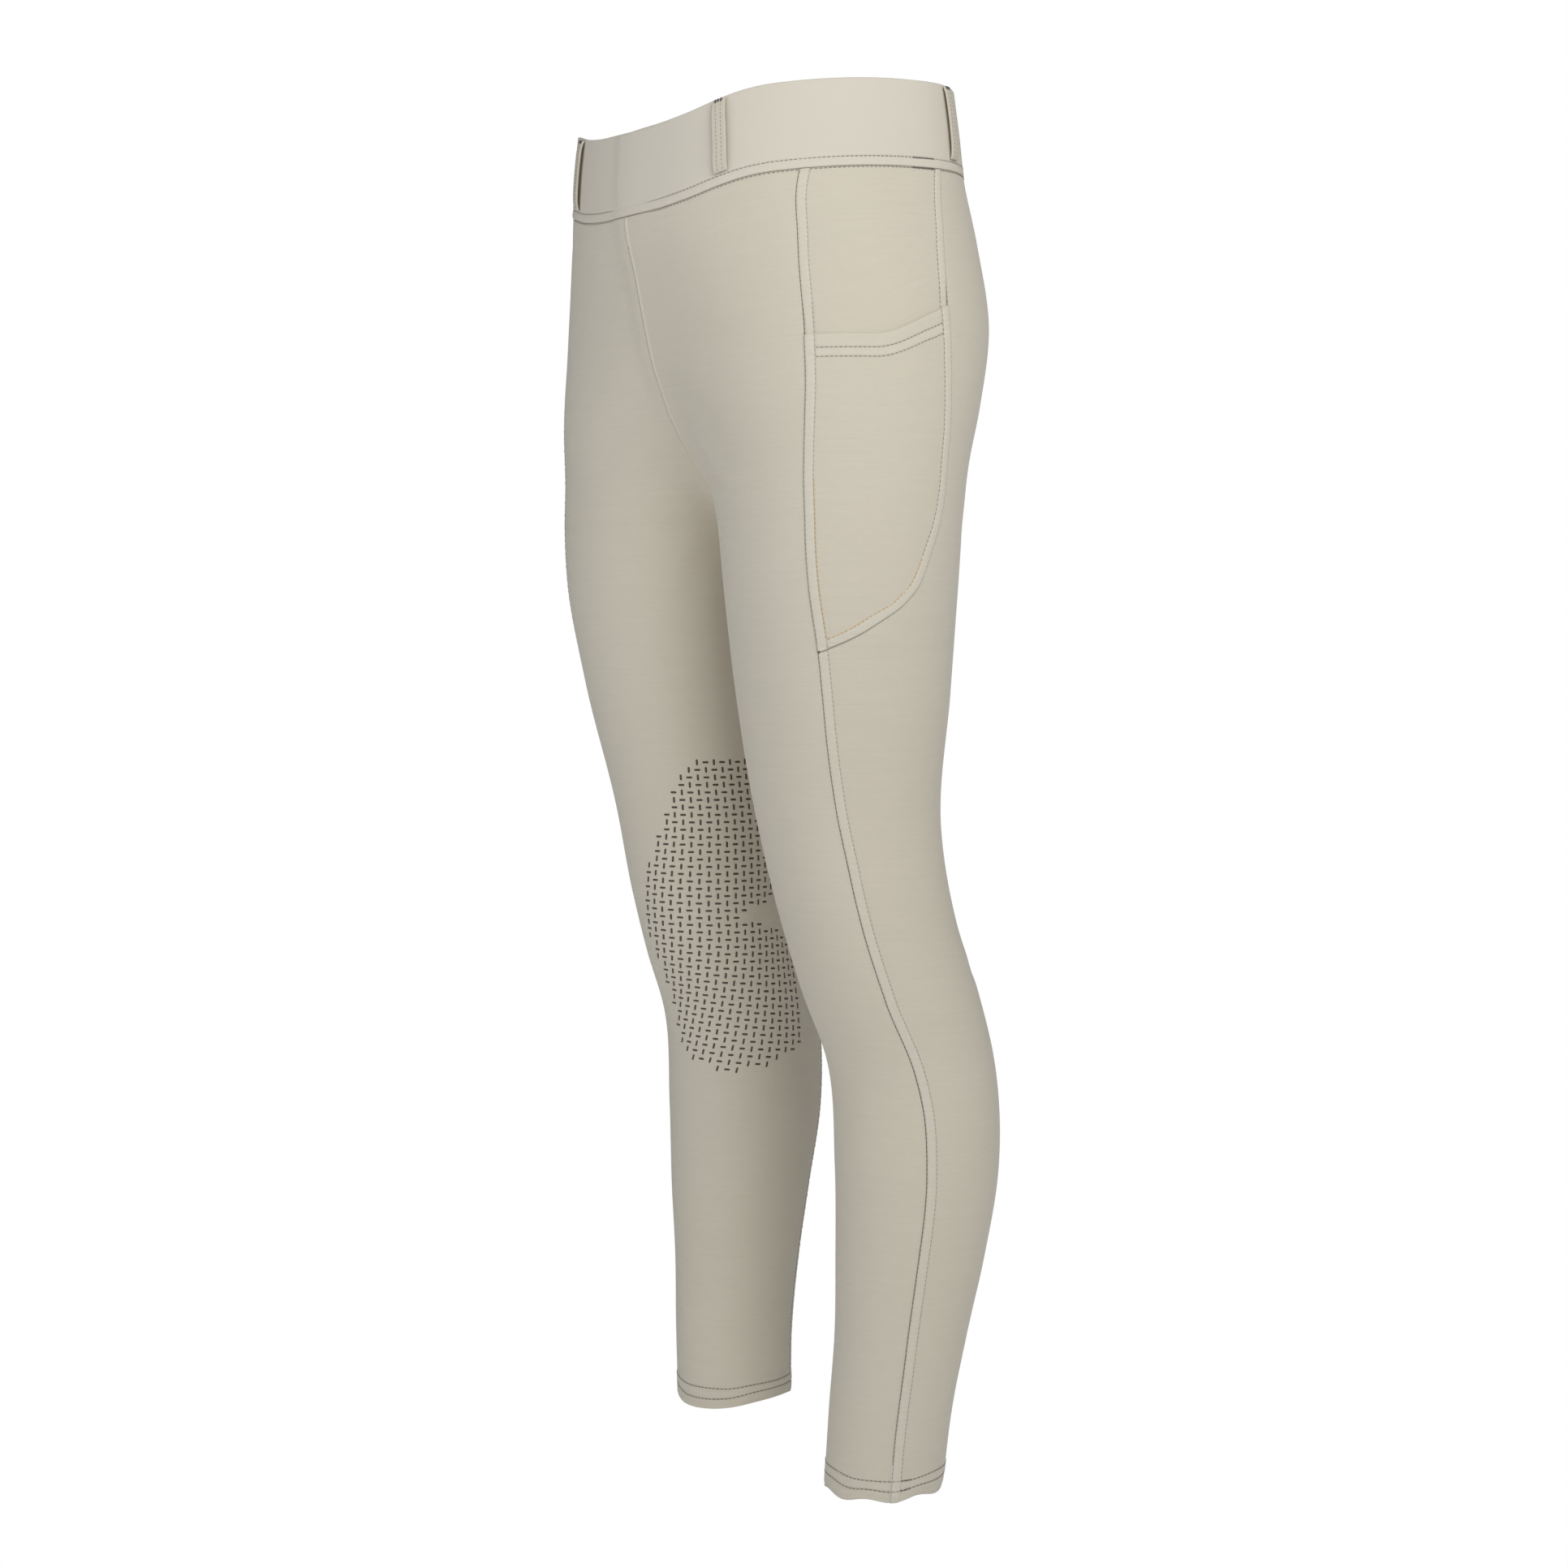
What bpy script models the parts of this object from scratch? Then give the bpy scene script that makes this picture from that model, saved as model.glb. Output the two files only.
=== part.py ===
"""Pull-on riding tights, filled out with no wearer and standing as worn.

Metres, +Z up. The wearer faces -Y and the wearer's left is +X. The origin is the middle of the
waistband's opening, half way up the band, where the wearer holds the tights up.
"""
from collections import namedtuple

import bmesh
import bpy
import numpy as np

MM = 0.001
LEFT, RIGHT = 1, -1

# Cloth
LEG_WALL = 1.4 * MM
BAND_WALL = 2.4 * MM
POCKET_WALL = 1.2 * MM
LOOP_WALL = 1.3 * MM
SEAM_GAP = 0.3 * MM

# Heights above the left hem
CROTCH = 628 * MM
WAIST_SEAM = 842 * MM
BAND_TOP = 896 * MM
HOLD_HEIGHT = 0.5 * (WAIST_SEAM + BAND_TOP)

# The right leg is pulled up a little higher than the left one
RIGHT_LIFT = 23 * MM

# Each hem's edge runs in low waves, with a low place at the given turn, fading a little way up the leg
HemWave = namedtuple("HemWave", "side size waves low_turn")
HEM_WAVES = (HemWave(LEFT, 1.3, 7, 31), HemWave(LEFT, 1.3, 1, 130), HemWave(RIGHT, 3.1, 2, 103))
HEM_WAVE_REACH = 16 * MM

# Cross-sections of one leg and its half of the hips, in mm, from the hem up. A section is four quarter
# ovals that meet at the front and back crests. The bridge is how far the inner side is rounded over
# to the other leg, and the seat column carries the back further across the middle than the front.
Section = namedtuple("Section", "name height inner outer middle front back front_crest back_crest "
                                "roundness bridge seat")
SECTIONS = (
    Section("hem", 0, 45, 123, 32, 39, 40, 85, 81, 2.0, 4, 0),
    Section("ankle", 50, 48, 128, 35, 41, 41, 88, 85, 2.0, 4, 0),
    Section("low calf", 100, 48, 135, 40, 43, 44, 92, 90, 2.0, 4, 0),
    Section("calf", 150, 46, 143, 45, 48, 49, 94, 94, 2.0, 5, 0),
    Section("full calf", 210, 42, 149, 50, 53, 54, 95, 95, 2.0, 6, 0),
    Section("below knee", 280, 38, 149, 46, 54, 54, 94, 94, 2.0, 7, 0),
    Section("knee", 325, 34, 146, 32, 57, 57, 90, 90, 2.05, 8, 0),
    Section("above knee", 370, 32, 142, 17, 56, 56, 87, 87, 2.1, 9, 0),
    Section("low thigh", 432, 26, 141, 4, 58, 58, 83, 82, 2.1, 9, 0),
    Section("mid thigh", 520, 22, 157, -6, 67, 67, 88, 88, 2.1, 11, 0),
    Section("high thigh", 590, 19, 167, -11, 72, 73, 92, 92, 2.1, 13, 0),
    Section("crotch", 628, 15, 171, -10, 75, 74, 89, 90, 2.1, 15, 0),
    Section("rise", 660, 4, 172, -8, 78, 78, 84, 86, 2.1, 18, 12),
    Section("seat", 700, -22, 171, -4, 88, 88, 72, 80, 2.15, 21, 40),
    Section("hip", 750, -70, 167, 0, 97, 99, 48, 66, 2.2, 20, 40),
    Section("high hip", 800, -120, 159, 0, 104, 99, 22, 42, 2.2, 14, 20),
    Section("waist seam", 842, -149, 149, 0, 112, 100, 0, 12, 2.2, 5, 0),
    Section("band middle", 869, -147, 147, 0, 111, 98, 0, 4, 2.2, 2, 0),
    Section("band top", 896, -144, 144, 0, 109, 95, 0, 0, 2.2, 2, 0),
)

# Seams by the turn round the leg: 0 at the outer side, 90 at the front, 180 at the inner side
SeamPoint = namedtuple("SeamPoint", "height turn")
SIDE_SEAM = (
    SeamPoint(0, 33.5), SeamPoint(51, 33.5), SeamPoint(112, 35), SeamPoint(207, 33), SeamPoint(239, 34),
    SeamPoint(280, 38), SeamPoint(324, 41.5), SeamPoint(364, 42), SeamPoint(406, 42.5), SeamPoint(447, 45),
    SeamPoint(494, 48.5), SeamPoint(544, 51), SeamPoint(588, 55), SeamPoint(616, 56), SeamPoint(644, 56),
    SeamPoint(710, 49), SeamPoint(741, 46.5), SeamPoint(781, 43.5), SeamPoint(820, 39), SeamPoint(842, 35.3),
)
INSEAM = (
    SeamPoint(0, 232), SeamPoint(300, 232), SeamPoint(420, 226), SeamPoint(520, 212), SeamPoint(590, 194),
    SeamPoint(628, 180),
)
POCKET_TIP = 544 * MM
POCKET_SEAM = (
    SeamPoint(544, 51), SeamPoint(546, 46), SeamPoint(554, 30.5), SeamPoint(563, 18), SeamPoint(573, 6),
    SeamPoint(586, -2.5), SeamPoint(606, -8), SeamPoint(627, -12.6), SeamPoint(645, -14), SeamPoint(669, -13.5),
    SeamPoint(695, -11), SeamPoint(714, -9), SeamPoint(740, -7.6), SeamPoint(757, -7.8), SeamPoint(808, -9.6),
    SeamPoint(842, -13),
)

# The pocket's mouth rises towards the back; the cloth behind the pocket lies deeper than the yoke
MOUTH = 737 * MM
MOUTH_RISE = 27 * MM
MOUTH_RISE_SPREAD = 80 * MM
MOUTH_CLIMB = (-22, 22)
MOUTH_BACK_FADE = (-75, -14)
POCKET_PROUD = 0.5 * MM
BACKING_FADE = 24 * MM
TIP_REACH = 0.7
LEAST_SLANT = 0.25

# How far the waist seam and the band lie above their height at the side, in mm, by the turn
DipPoint = namedtuple("DipPoint", "turn rise")
WAIST_DIP = (
    DipPoint(-90, 10), DipPoint(-45, 5), DipPoint(-20, 2.4), DipPoint(0, 0), DipPoint(20, -2.8),
    DipPoint(35, -5), DipPoint(45, -6.6), DipPoint(52, -8.8), DipPoint(60, -12.8), DipPoint(70, -18.3),
    DipPoint(80, -21.5), DipPoint(90, -22.6),
)
DIP_REACH = 142 * MM

# Rows of points up the leg: evenly spaced stretches, and closer rows at the crotch and pocket tip
Stretch = namedtuple("Stretch", "low high rows")
STRETCHES = (
    Stretch(0, 240, 7), Stretch(270, 400, 5), Stretch(430, 520, 4), Stretch(700, 737, 3), Stretch(752, 842, 5),
)
TIP_ROWS = (0, 4, 9, 16, 25, 37, 51)
CROTCH_ROWS = (-16, -9, -4, -1, 0, 1, 4, 9, 16, 25, 36, 52)
FRONT_COLUMNS = 12
BACK_COLUMNS = 13
SIDE_COLUMNS = 6

# The band's rows up its height, and how far its edges are rounded in, in mm
BandRow = namedtuple("BandRow", "part inset")
BAND_ROWS = (
    BandRow(0.0, 0.6), BandRow(0.04, 0.1), BandRow(0.35, 0.0), BandRow(0.7, 0.0), BandRow(0.96, 0.1),
    BandRow(1.0, 0.6),
)
BAND_PROUD = 0.5 * MM

# Edges that turn more than this many degrees are shaded sharp
SHARP_TURN = 50

# Belt loops
BeltLoop = namedtuple("BeltLoop", "name turn side")
BELT_LOOPS = (
    BeltLoop("belt_loop_front_right", 63, RIGHT),
    BeltLoop("belt_loop_front_left", 58.5, LEFT),
    BeltLoop("belt_loop_back_left", -21, LEFT),
    BeltLoop("belt_loop_back_right", -21, RIGHT),
)
LOOP_WIDTH = 10 * MM
LOOP_ROWS = 9
LOOP_COLUMNS = 3
LOOP_STAND_OFF = 1.6 * MM
LOOP_FOOT = 0.13
LOOP_HEAD = 0.97
LOOP_LEAN = 2.5 * MM
LOOP_SQUARENESS = 6

# Colours, as linear values
CLOTH_COLOUR = (0.60, 0.56, 0.47, 1.0)
SIDE_COLOUR = (0.58, 0.54, 0.455, 1.0)
BAND_COLOUR = (0.62, 0.575, 0.49, 1.0)
LOOP_COLOUR = (0.56, 0.52, 0.43, 1.0)


def smooth_curve(at, knots, values, tight=True):
    """Read a smooth curve through the knots; a tight one never swings past them."""
    knots, values = np.asarray(knots, float), np.asarray(values, float)
    at = np.clip(np.asarray(at, float), knots[0], knots[-1])
    step = np.diff(knots)
    rise = np.diff(values) / step
    slope = np.zeros_like(values)
    slope[0], slope[-1] = rise[0], rise[-1]
    before, after = 2 * step[1:] + step[:-1], step[1:] + 2 * step[:-1]
    if tight:
        steady = rise[:-1] * rise[1:] > 0
        safe = np.where(steady, rise[:-1] * rise[1:], 1.0)
        mean = (before + after) * safe / np.where(steady, before * rise[1:] + after * rise[:-1], 1.0)
        slope[1:-1] = np.where(steady, mean, 0.0)
    else:
        slope[1:-1] = (rise[:-1] * step[1:] + rise[1:] * step[:-1]) / (step[1:] + step[:-1])
    k = np.clip(np.searchsorted(knots, at, side="right") - 1, 0, len(knots) - 2)
    t = (at - knots[k]) / step[k]
    return ((2 * t**3 - 3 * t**2 + 1) * values[k] + (t**3 - 2 * t**2 + t) * step[k] * slope[k]
            + (3 * t**2 - 2 * t**3) * values[k + 1] + (t**3 - t**2) * step[k] * slope[k + 1])


def smooth_step(low, high, at):
    """0 below low, 1 above high, and an S-curve between them."""
    t = np.clip((np.asarray(at, float) - low) / (high - low), 0.0, 1.0)
    return t * t * (3 - 2 * t)


def section_at(height):
    """The cross-section's sizes at a height, in metres."""
    knots = [s.height * MM for s in SECTIONS]
    sizes = {}
    for column in Section._fields[2:]:
        unit = 1.0 if column == "roundness" else MM
        values = [getattr(s, column) * unit for s in SECTIONS]
        sizes[column] = smooth_curve(height, knots, values, tight=False)
    return sizes


def quarter_sizes(size, across, along):
    """Crest, reach and depth of the quarter oval that a point lies in."""
    crest = np.where(along >= 0, size["front_crest"], size["back_crest"])
    depth = np.where(along >= 0, size["front"], size["back"])
    inner = np.where(along >= 0, size["inner"], size["inner"] - size["seat"])
    reach = np.where(across >= 0, size["outer"] - crest, crest - inner)
    return crest, reach, depth


def leg_point(turn, height):
    """Where a point of the left leg's surface lies, as x and y."""
    size = section_at(height)
    angle = np.radians(turn)
    power = 2.0 / size["roundness"]
    across, along = np.cos(angle), np.sin(angle)
    crest, reach, depth = quarter_sizes(size, across, along)
    spread = crest + reach * np.sign(across) * np.abs(across) ** power
    y = size["middle"] - depth * np.sign(along) * np.abs(along) ** power
    x = np.sqrt(np.maximum(spread**2 - size["bridge"] ** 2, 0.0))
    return x, y


def oval_value(x, y, height):
    """Below 1 inside the leg's surface and above 1 outside it."""
    size = section_at(height)
    spread = np.sqrt(x**2 + size["bridge"] ** 2)
    along = size["middle"] - y
    crest, _, depth = quarter_sizes(size, np.ones_like(x), along)
    crest, reach, depth = quarter_sizes(size, spread - crest, along)
    power = size["roundness"]
    return (np.abs(spread - crest) / reach) ** power + (np.abs(along) / depth) ** power


def leg_normal(x, y, height, step=0.2 * MM):
    """The outward direction at points of the left leg's surface."""
    slopes = []
    for dx, dy, dz in ((step, 0, 0), (0, step, 0), (0, 0, step)):
        slopes.append(oval_value(x + dx, y + dy, height + dz) - oval_value(x - dx, y - dy, height - dz))
    normal = np.stack(slopes, -1)
    return normal / np.linalg.norm(normal, axis=-1, keepdims=True)


def waist_dip(turn):
    """How far the waist lies above its height at the side."""
    turn = (np.asarray(turn, float) + 180) % 360 - 180
    turn = np.where(turn > 90, 180 - turn, turn)
    turn = np.where(turn < -90, -180 - turn, turn)
    return smooth_curve(turn, [p.turn for p in WAIST_DIP], [p.rise for p in WAIST_DIP]) * MM


def mouth_rise(turn, row):
    """How far a row is lifted to follow the pocket's mouth."""
    turn = (np.asarray(turn, float) + 180) % 360 - 180
    bump = (1 - smooth_step(*MOUTH_CLIMB, turn)) * smooth_step(*MOUTH_BACK_FADE, turn)
    near = 1 - smooth_step(0, MOUTH_RISE_SPREAD, np.abs(row - MOUTH))
    return MOUTH_RISE * bump * near


def hem_wave(turn, row, side):
    """How far the hem's edge is lifted by its waves."""
    lift = sum(-wave.size * np.cos(np.radians(wave.waves * (turn - wave.low_turn)))
               for wave in HEM_WAVES if wave.side == side)
    return lift * MM * (1 - smooth_step(0, HEM_WAVE_REACH, row))


def cloth_points(turn, row, side, out=0.0):
    """Points of the cloth at a turn and a row, moved out from the surface."""
    turn, row = np.broadcast_arrays(np.asarray(turn, float), np.asarray(row, float))
    height = row + mouth_rise(turn, row)
    x, y = leg_point(turn, height)
    normal = leg_normal(x, y, height)
    drop = smooth_step(WAIST_SEAM - DIP_REACH, WAIST_SEAM, height) * waist_dip(turn)
    lift = RIGHT_LIFT * np.clip(1 - height / CROTCH, 0, 1) if side == RIGHT else 0.0
    z = height + hem_wave(turn, row, side) + drop + lift - HOLD_HEIGHT
    points = np.stack([x, y, z], -1) + normal * np.asarray(out, float)[..., None]
    points[..., 0] = side * np.maximum(points[..., 0], SEAM_GAP / 2)
    return points


def seam_turn(seam, row):
    """The turn at which a seam crosses a row."""
    return smooth_curve(row, [p.height * MM for p in seam], [p.turn for p in seam])


def side_seam(row):
    return seam_turn(SIDE_SEAM, row)


def pocket_seam(row):
    return np.where(row > POCKET_TIP, seam_turn(POCKET_SEAM, row), side_seam(row))


def middle_end(row, inner, crest, bridge):
    """How far past the crest a section runs before it meets the middle of the body."""
    share = np.clip((crest - bridge) / (crest - inner), 0, 1)
    return 90 + np.degrees(np.arcsin(share ** (section_at(row)["roundness"] / 2)))


def front_edge(row):
    """The centre front seam above the crotch and the inseam below it."""
    size = section_at(row)
    centre = middle_end(row, size["inner"], size["front_crest"], size["bridge"])
    return np.where(row > CROTCH, centre, seam_turn(INSEAM, row))


def back_edge(row):
    """The centre back seam above the crotch and the inseam below it."""
    size = section_at(row)
    centre = middle_end(row, size["inner"] - size["seat"], size["back_crest"], size["bridge"])
    return np.where(row > CROTCH, -centre, seam_turn(INSEAM, row) - 360)


# The panels round each leg from the centre front: their two seams and columns of points
PANEL_SEAMS = {
    LEFT: ((front_edge, side_seam, FRONT_COLUMNS), (side_seam, pocket_seam, SIDE_COLUMNS),
           (pocket_seam, back_edge, BACK_COLUMNS)),
    RIGHT: ((front_edge, side_seam, FRONT_COLUMNS), (side_seam, back_edge, BACK_COLUMNS)),
}


def seam_allowance(seam, row, side, toward, step=0.5 * MM):
    """Half a seam gap, measured along the row where the seam crosses it at a slant."""
    low, high = row - step, row + step
    along = cloth_points(seam(high), high, side) - cloth_points(seam(low), low, side)
    across = cloth_points(seam(row) + toward, row, side) - cloth_points(seam(row), row, side)
    slant = np.linalg.norm(np.cross(along, across)) / np.linalg.norm(along) / np.linalg.norm(across)
    return SEAM_GAP / 2 / max(slant, LEAST_SLANT)


def row_turns(start, end, row, side, columns):
    """Turns spaced evenly along a row from one seam to the other, half a seam gap inside both."""
    first, last = float(start(row)), float(end(row))
    fine = 0.5 - 0.5 * np.cos(np.linspace(0, np.pi, 241))
    turns = first + (last - first) * fine
    steps = np.linalg.norm(np.diff(cloth_points(turns, row, side), axis=0), axis=-1)
    run = np.concatenate([[0.0], np.cumsum(steps)])
    toward = np.sign(last - first)
    ends = (seam_allowance(start, row, side, toward), run[-1] - seam_allowance(end, row, side, -toward))
    return np.interp(np.linspace(*ends, columns + 1), run, turns)


def all_rows():
    """Every row of points from the hem to just under the waist seam."""
    rows = [CROTCH + r * MM for r in CROTCH_ROWS] + [POCKET_TIP + r * MM for r in TIP_ROWS]
    for stretch in STRETCHES:
        rows += list(np.linspace(stretch.low, stretch.high, stretch.rows) * MM)
    rows = sorted(rows)
    rows[-1] = WAIST_SEAM - SEAM_GAP / 2
    return rows


def wall_object(name, outer, inner, colour, closed=False):
    """A cloth wall between two grids of points; a closed one joins its last column to its first."""
    outer, inner = np.asarray(outer), np.asarray(inner)
    rows, columns = outer.shape[:2]
    shell = bmesh.new()
    grids = [[[shell.verts.new(p) for p in line] for line in grid] for grid in (outer, inner)]
    spans = [(c, (c + 1) % columns) for c in range(columns if closed else columns - 1)]
    for grid in grids:
        for r in range(rows - 1):
            for c, d in spans:
                shell.faces.new((grid[r][c], grid[r][d], grid[r + 1][d], grid[r + 1][c]))
    for r in (0, rows - 1):
        for c, d in spans:
            shell.faces.new((grids[0][r][c], grids[0][r][d], grids[1][r][d], grids[1][r][c]))
    if not closed:
        for c in (0, columns - 1):
            for r in range(rows - 1):
                shell.faces.new((grids[0][r][c], grids[0][r + 1][c], grids[1][r + 1][c], grids[1][r][c]))
    bmesh.ops.recalc_face_normals(shell, faces=shell.faces)
    mesh = bpy.data.meshes.new(name)
    shell.to_mesh(mesh)
    shell.free()
    mesh.shade_smooth()
    mesh.set_sharp_from_angle(angle=np.radians(SHARP_TURN))
    mesh.materials.append(cloth_material(name, colour))
    piece = bpy.data.objects.new(name, mesh)
    GARMENT.objects.link(piece)
    return piece


def cloth_material(name, colour):
    material = bpy.data.materials.new(name + "_cloth")
    material.use_nodes = True
    shader = material.node_tree.nodes["Principled BSDF"]
    shader.inputs["Base Color"].default_value = colour
    shader.inputs["Roughness"].default_value = 0.85
    shader.inputs["Metallic"].default_value = 0.0
    return material


def panel_grid(start, end, rows, side, columns):
    """Turns and rows of a panel's points."""
    turns = np.array([row_turns(start, end, row, side, columns) for row in rows])
    return turns, np.repeat(np.array(rows)[:, None], columns + 1, axis=1)


def leg_panel(name, start, end, columns, side):
    """A front or back panel of one leg, from the hem to the waist seam."""
    turns, rows = panel_grid(start, end, all_rows(), side, columns)
    outer = cloth_points(turns, rows, side)
    inner = cloth_points(turns, rows, side, np.full_like(rows, -LEG_WALL))
    wall_object(name, outer, inner, CLOTH_COLOUR)


def with_tip(points, out):
    """Add a short lowest row, most of the way down to the tip of the pocket's round bottom."""
    tip = cloth_points(side_seam(POCKET_TIP), POCKET_TIP, LEFT, out)
    return np.concatenate([(points[0] + TIP_REACH * (tip - points[0]))[None], points])


def side_panel_and_pocket():
    """The yoke above the pocket with its backing, and the pocket that lies over the backing."""
    rows = [row for row in all_rows() if row > POCKET_TIP + 0.1 * MM]
    turns, rows = panel_grid(side_seam, pocket_seam, rows, LEFT, SIDE_COLUMNS)
    backing = POCKET_PROUD - POCKET_WALL - SEAM_GAP
    face = backing * (1 - smooth_step(MOUTH, MOUTH + BACKING_FADE, rows))
    outer, inner = (with_tip(cloth_points(turns, rows, LEFT, face - wall), backing - wall)
                    for wall in (0.0, LEG_WALL))
    wall_object("side_panel_left", outer, inner, SIDE_COLOUR)
    low = rows[:, 0] < MOUTH + 0.1 * MM
    turns, rows = turns[low], rows[low]
    outer, inner = (with_tip(cloth_points(turns, rows, LEFT, np.full_like(rows, out)), out)
                    for out in (POCKET_PROUD, POCKET_PROUD - POCKET_WALL))
    wall_object("pocket_left", outer, inner, CLOTH_COLOUR)


def waist_turns(side):
    """The turns of one side's points along the waist seam, from the centre front to the centre back."""
    turns = [np.array([float(front_edge(WAIST_SEAM))])]
    for start, end, columns in PANEL_SEAMS[side]:
        turns.append(row_turns(start, end, WAIST_SEAM, side, columns)[1:])
    turns[-1][-1] = float(back_edge(WAIST_SEAM))
    return np.concatenate(turns)


def waistband():
    """The folded band, one closed ring above the waist seam, with a point over each of the panels' points."""
    low, high = WAIST_SEAM + SEAM_GAP / 2, BAND_TOP
    outer, inner = [], []
    for row in BAND_ROWS:
        height = low + row.part * (high - low)
        inset = row.inset * MM
        for line, out in ((outer, BAND_PROUD - inset), (inner, BAND_PROUD - BAND_WALL + inset)):
            halves = []
            for side in (LEFT, RIGHT):
                turns = waist_turns(side)
                half = cloth_points(turns, height, side, np.full_like(turns, out))
                half[[0, -1], 0] = 0.0
                halves.append(half)
            line.append(np.concatenate([halves[0], halves[1][-2:0:-1]]))
    wall_object("waistband", outer, inner, BAND_COLOUR, closed=True)


def over_band(turns, heights, side, out):
    """Points over the flats between the band's own points, moved out."""
    columns = waist_turns(side)[::-1]
    k = np.clip(np.searchsorted(columns, turns) - 1, 0, len(columns) - 2)
    part = (turns - columns[k]) / (columns[k + 1] - columns[k])
    before, after = (cloth_points(columns[k + n], heights, side, out) for n in (0, 1))
    return before + (after - before) * part[..., None]


def belt_loop(loop):
    """A narrow strip sewn down at its foot and its head, leaning forward and standing off between them."""
    span = np.linspace(-1, 1, LOOP_ROWS)
    part = LOOP_FOOT + (LOOP_HEAD - LOOP_FOOT) * 0.5 * (1 + span)
    heights = WAIST_SEAM + SEAM_GAP / 2 + part * (BAND_TOP - WAIST_SEAM)
    rows = np.repeat(heights[:, None], LOOP_COLUMNS, axis=1)
    middle = cloth_points(loop.turn, WAIST_SEAM, loop.side)
    one_degree_on = cloth_points(loop.turn + 1, WAIST_SEAM, loop.side)
    one_degree = np.linalg.norm(one_degree_on - middle)
    across = LOOP_WIDTH * np.linspace(-0.5, 0.5, LOOP_COLUMNS) + LOOP_LEAN / 2 * span[:, None]
    turns = loop.turn + across / one_degree
    arch = 1 - np.abs(span) ** LOOP_SQUARENESS
    back = BAND_PROUD + SEAM_GAP + arch[:, None] * LOOP_STAND_OFF + np.zeros_like(rows)
    outer, inner = (over_band(turns, rows, loop.side, back + wall) for wall in (LOOP_WALL, 0.0))
    wall_object(loop.name, outer, inner, LOOP_COLOUR)


for leftover in list(bpy.data.objects):
    bpy.data.objects.remove(leftover)
GARMENT = bpy.data.collections.new("riding_tights")
bpy.context.scene.collection.children.link(GARMENT)

for side_name, side in (("left", LEFT), ("right", RIGHT)):
    leg_panel("front_" + side_name, *PANEL_SEAMS[side][0], side)
    leg_panel("back_" + side_name, *PANEL_SEAMS[side][-1], side)
side_panel_and_pocket()
waistband()
for loop in BELT_LOOPS:
    belt_loop(loop)
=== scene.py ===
"""Looks of the pull-on riding tights: knit cloth, seams, stitching, belt loops and the knee grip print.

Metres, +Z up. The wearer faces -Y and the wearer's left is +X. The origin is the middle of the
waistband's opening. Each piece is a fine shell on the form of the plain solid that it stands for.
"""
from collections import namedtuple

import bmesh
import bpy
import numpy as np
from bpy.props import FloatProperty, FloatVectorProperty, PointerProperty
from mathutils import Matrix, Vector


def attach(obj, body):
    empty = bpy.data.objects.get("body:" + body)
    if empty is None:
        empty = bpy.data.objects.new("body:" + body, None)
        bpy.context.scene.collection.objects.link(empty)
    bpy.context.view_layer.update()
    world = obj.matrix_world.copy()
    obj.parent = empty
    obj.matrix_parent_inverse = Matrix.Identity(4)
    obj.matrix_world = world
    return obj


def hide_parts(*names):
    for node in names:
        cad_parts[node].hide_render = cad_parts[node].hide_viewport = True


bl_info = {
    "name": "Riding Tights",
    "version": (1, 0, 0),
    "blender": (4, 5, 0),
    "location": "View3D > Sidebar > Tights",
    "description": "Dresses riding tights with knit cloth, seams, stitching and a grip print",
    "category": "Add Mesh",
}

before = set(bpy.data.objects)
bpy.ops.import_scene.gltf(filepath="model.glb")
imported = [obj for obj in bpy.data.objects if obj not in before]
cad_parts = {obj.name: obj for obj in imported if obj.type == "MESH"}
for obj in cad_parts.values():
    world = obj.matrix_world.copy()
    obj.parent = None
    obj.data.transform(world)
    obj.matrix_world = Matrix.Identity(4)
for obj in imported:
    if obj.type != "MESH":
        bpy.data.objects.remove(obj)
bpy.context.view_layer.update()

MM = 0.001
LEFT, RIGHT = 1, -1
SIDE_NAMES = {LEFT: "left", RIGHT: "right"}


def table(kind, rows):
    """A table whose rows are named by the kind of row that they are."""
    return tuple(kind(*row) for row in rows)


# Heights above the left hem
CROTCH = 628 * MM
WAIST_SEAM = 842 * MM
BAND_TOP = 896 * MM
HOLD_HEIGHT = 0.5 * (WAIST_SEAM + BAND_TOP)
RIGHT_LIFT = 23 * MM
SEAM_GAP = 0.3 * MM
LEAST_SLANT = 0.25

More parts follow.
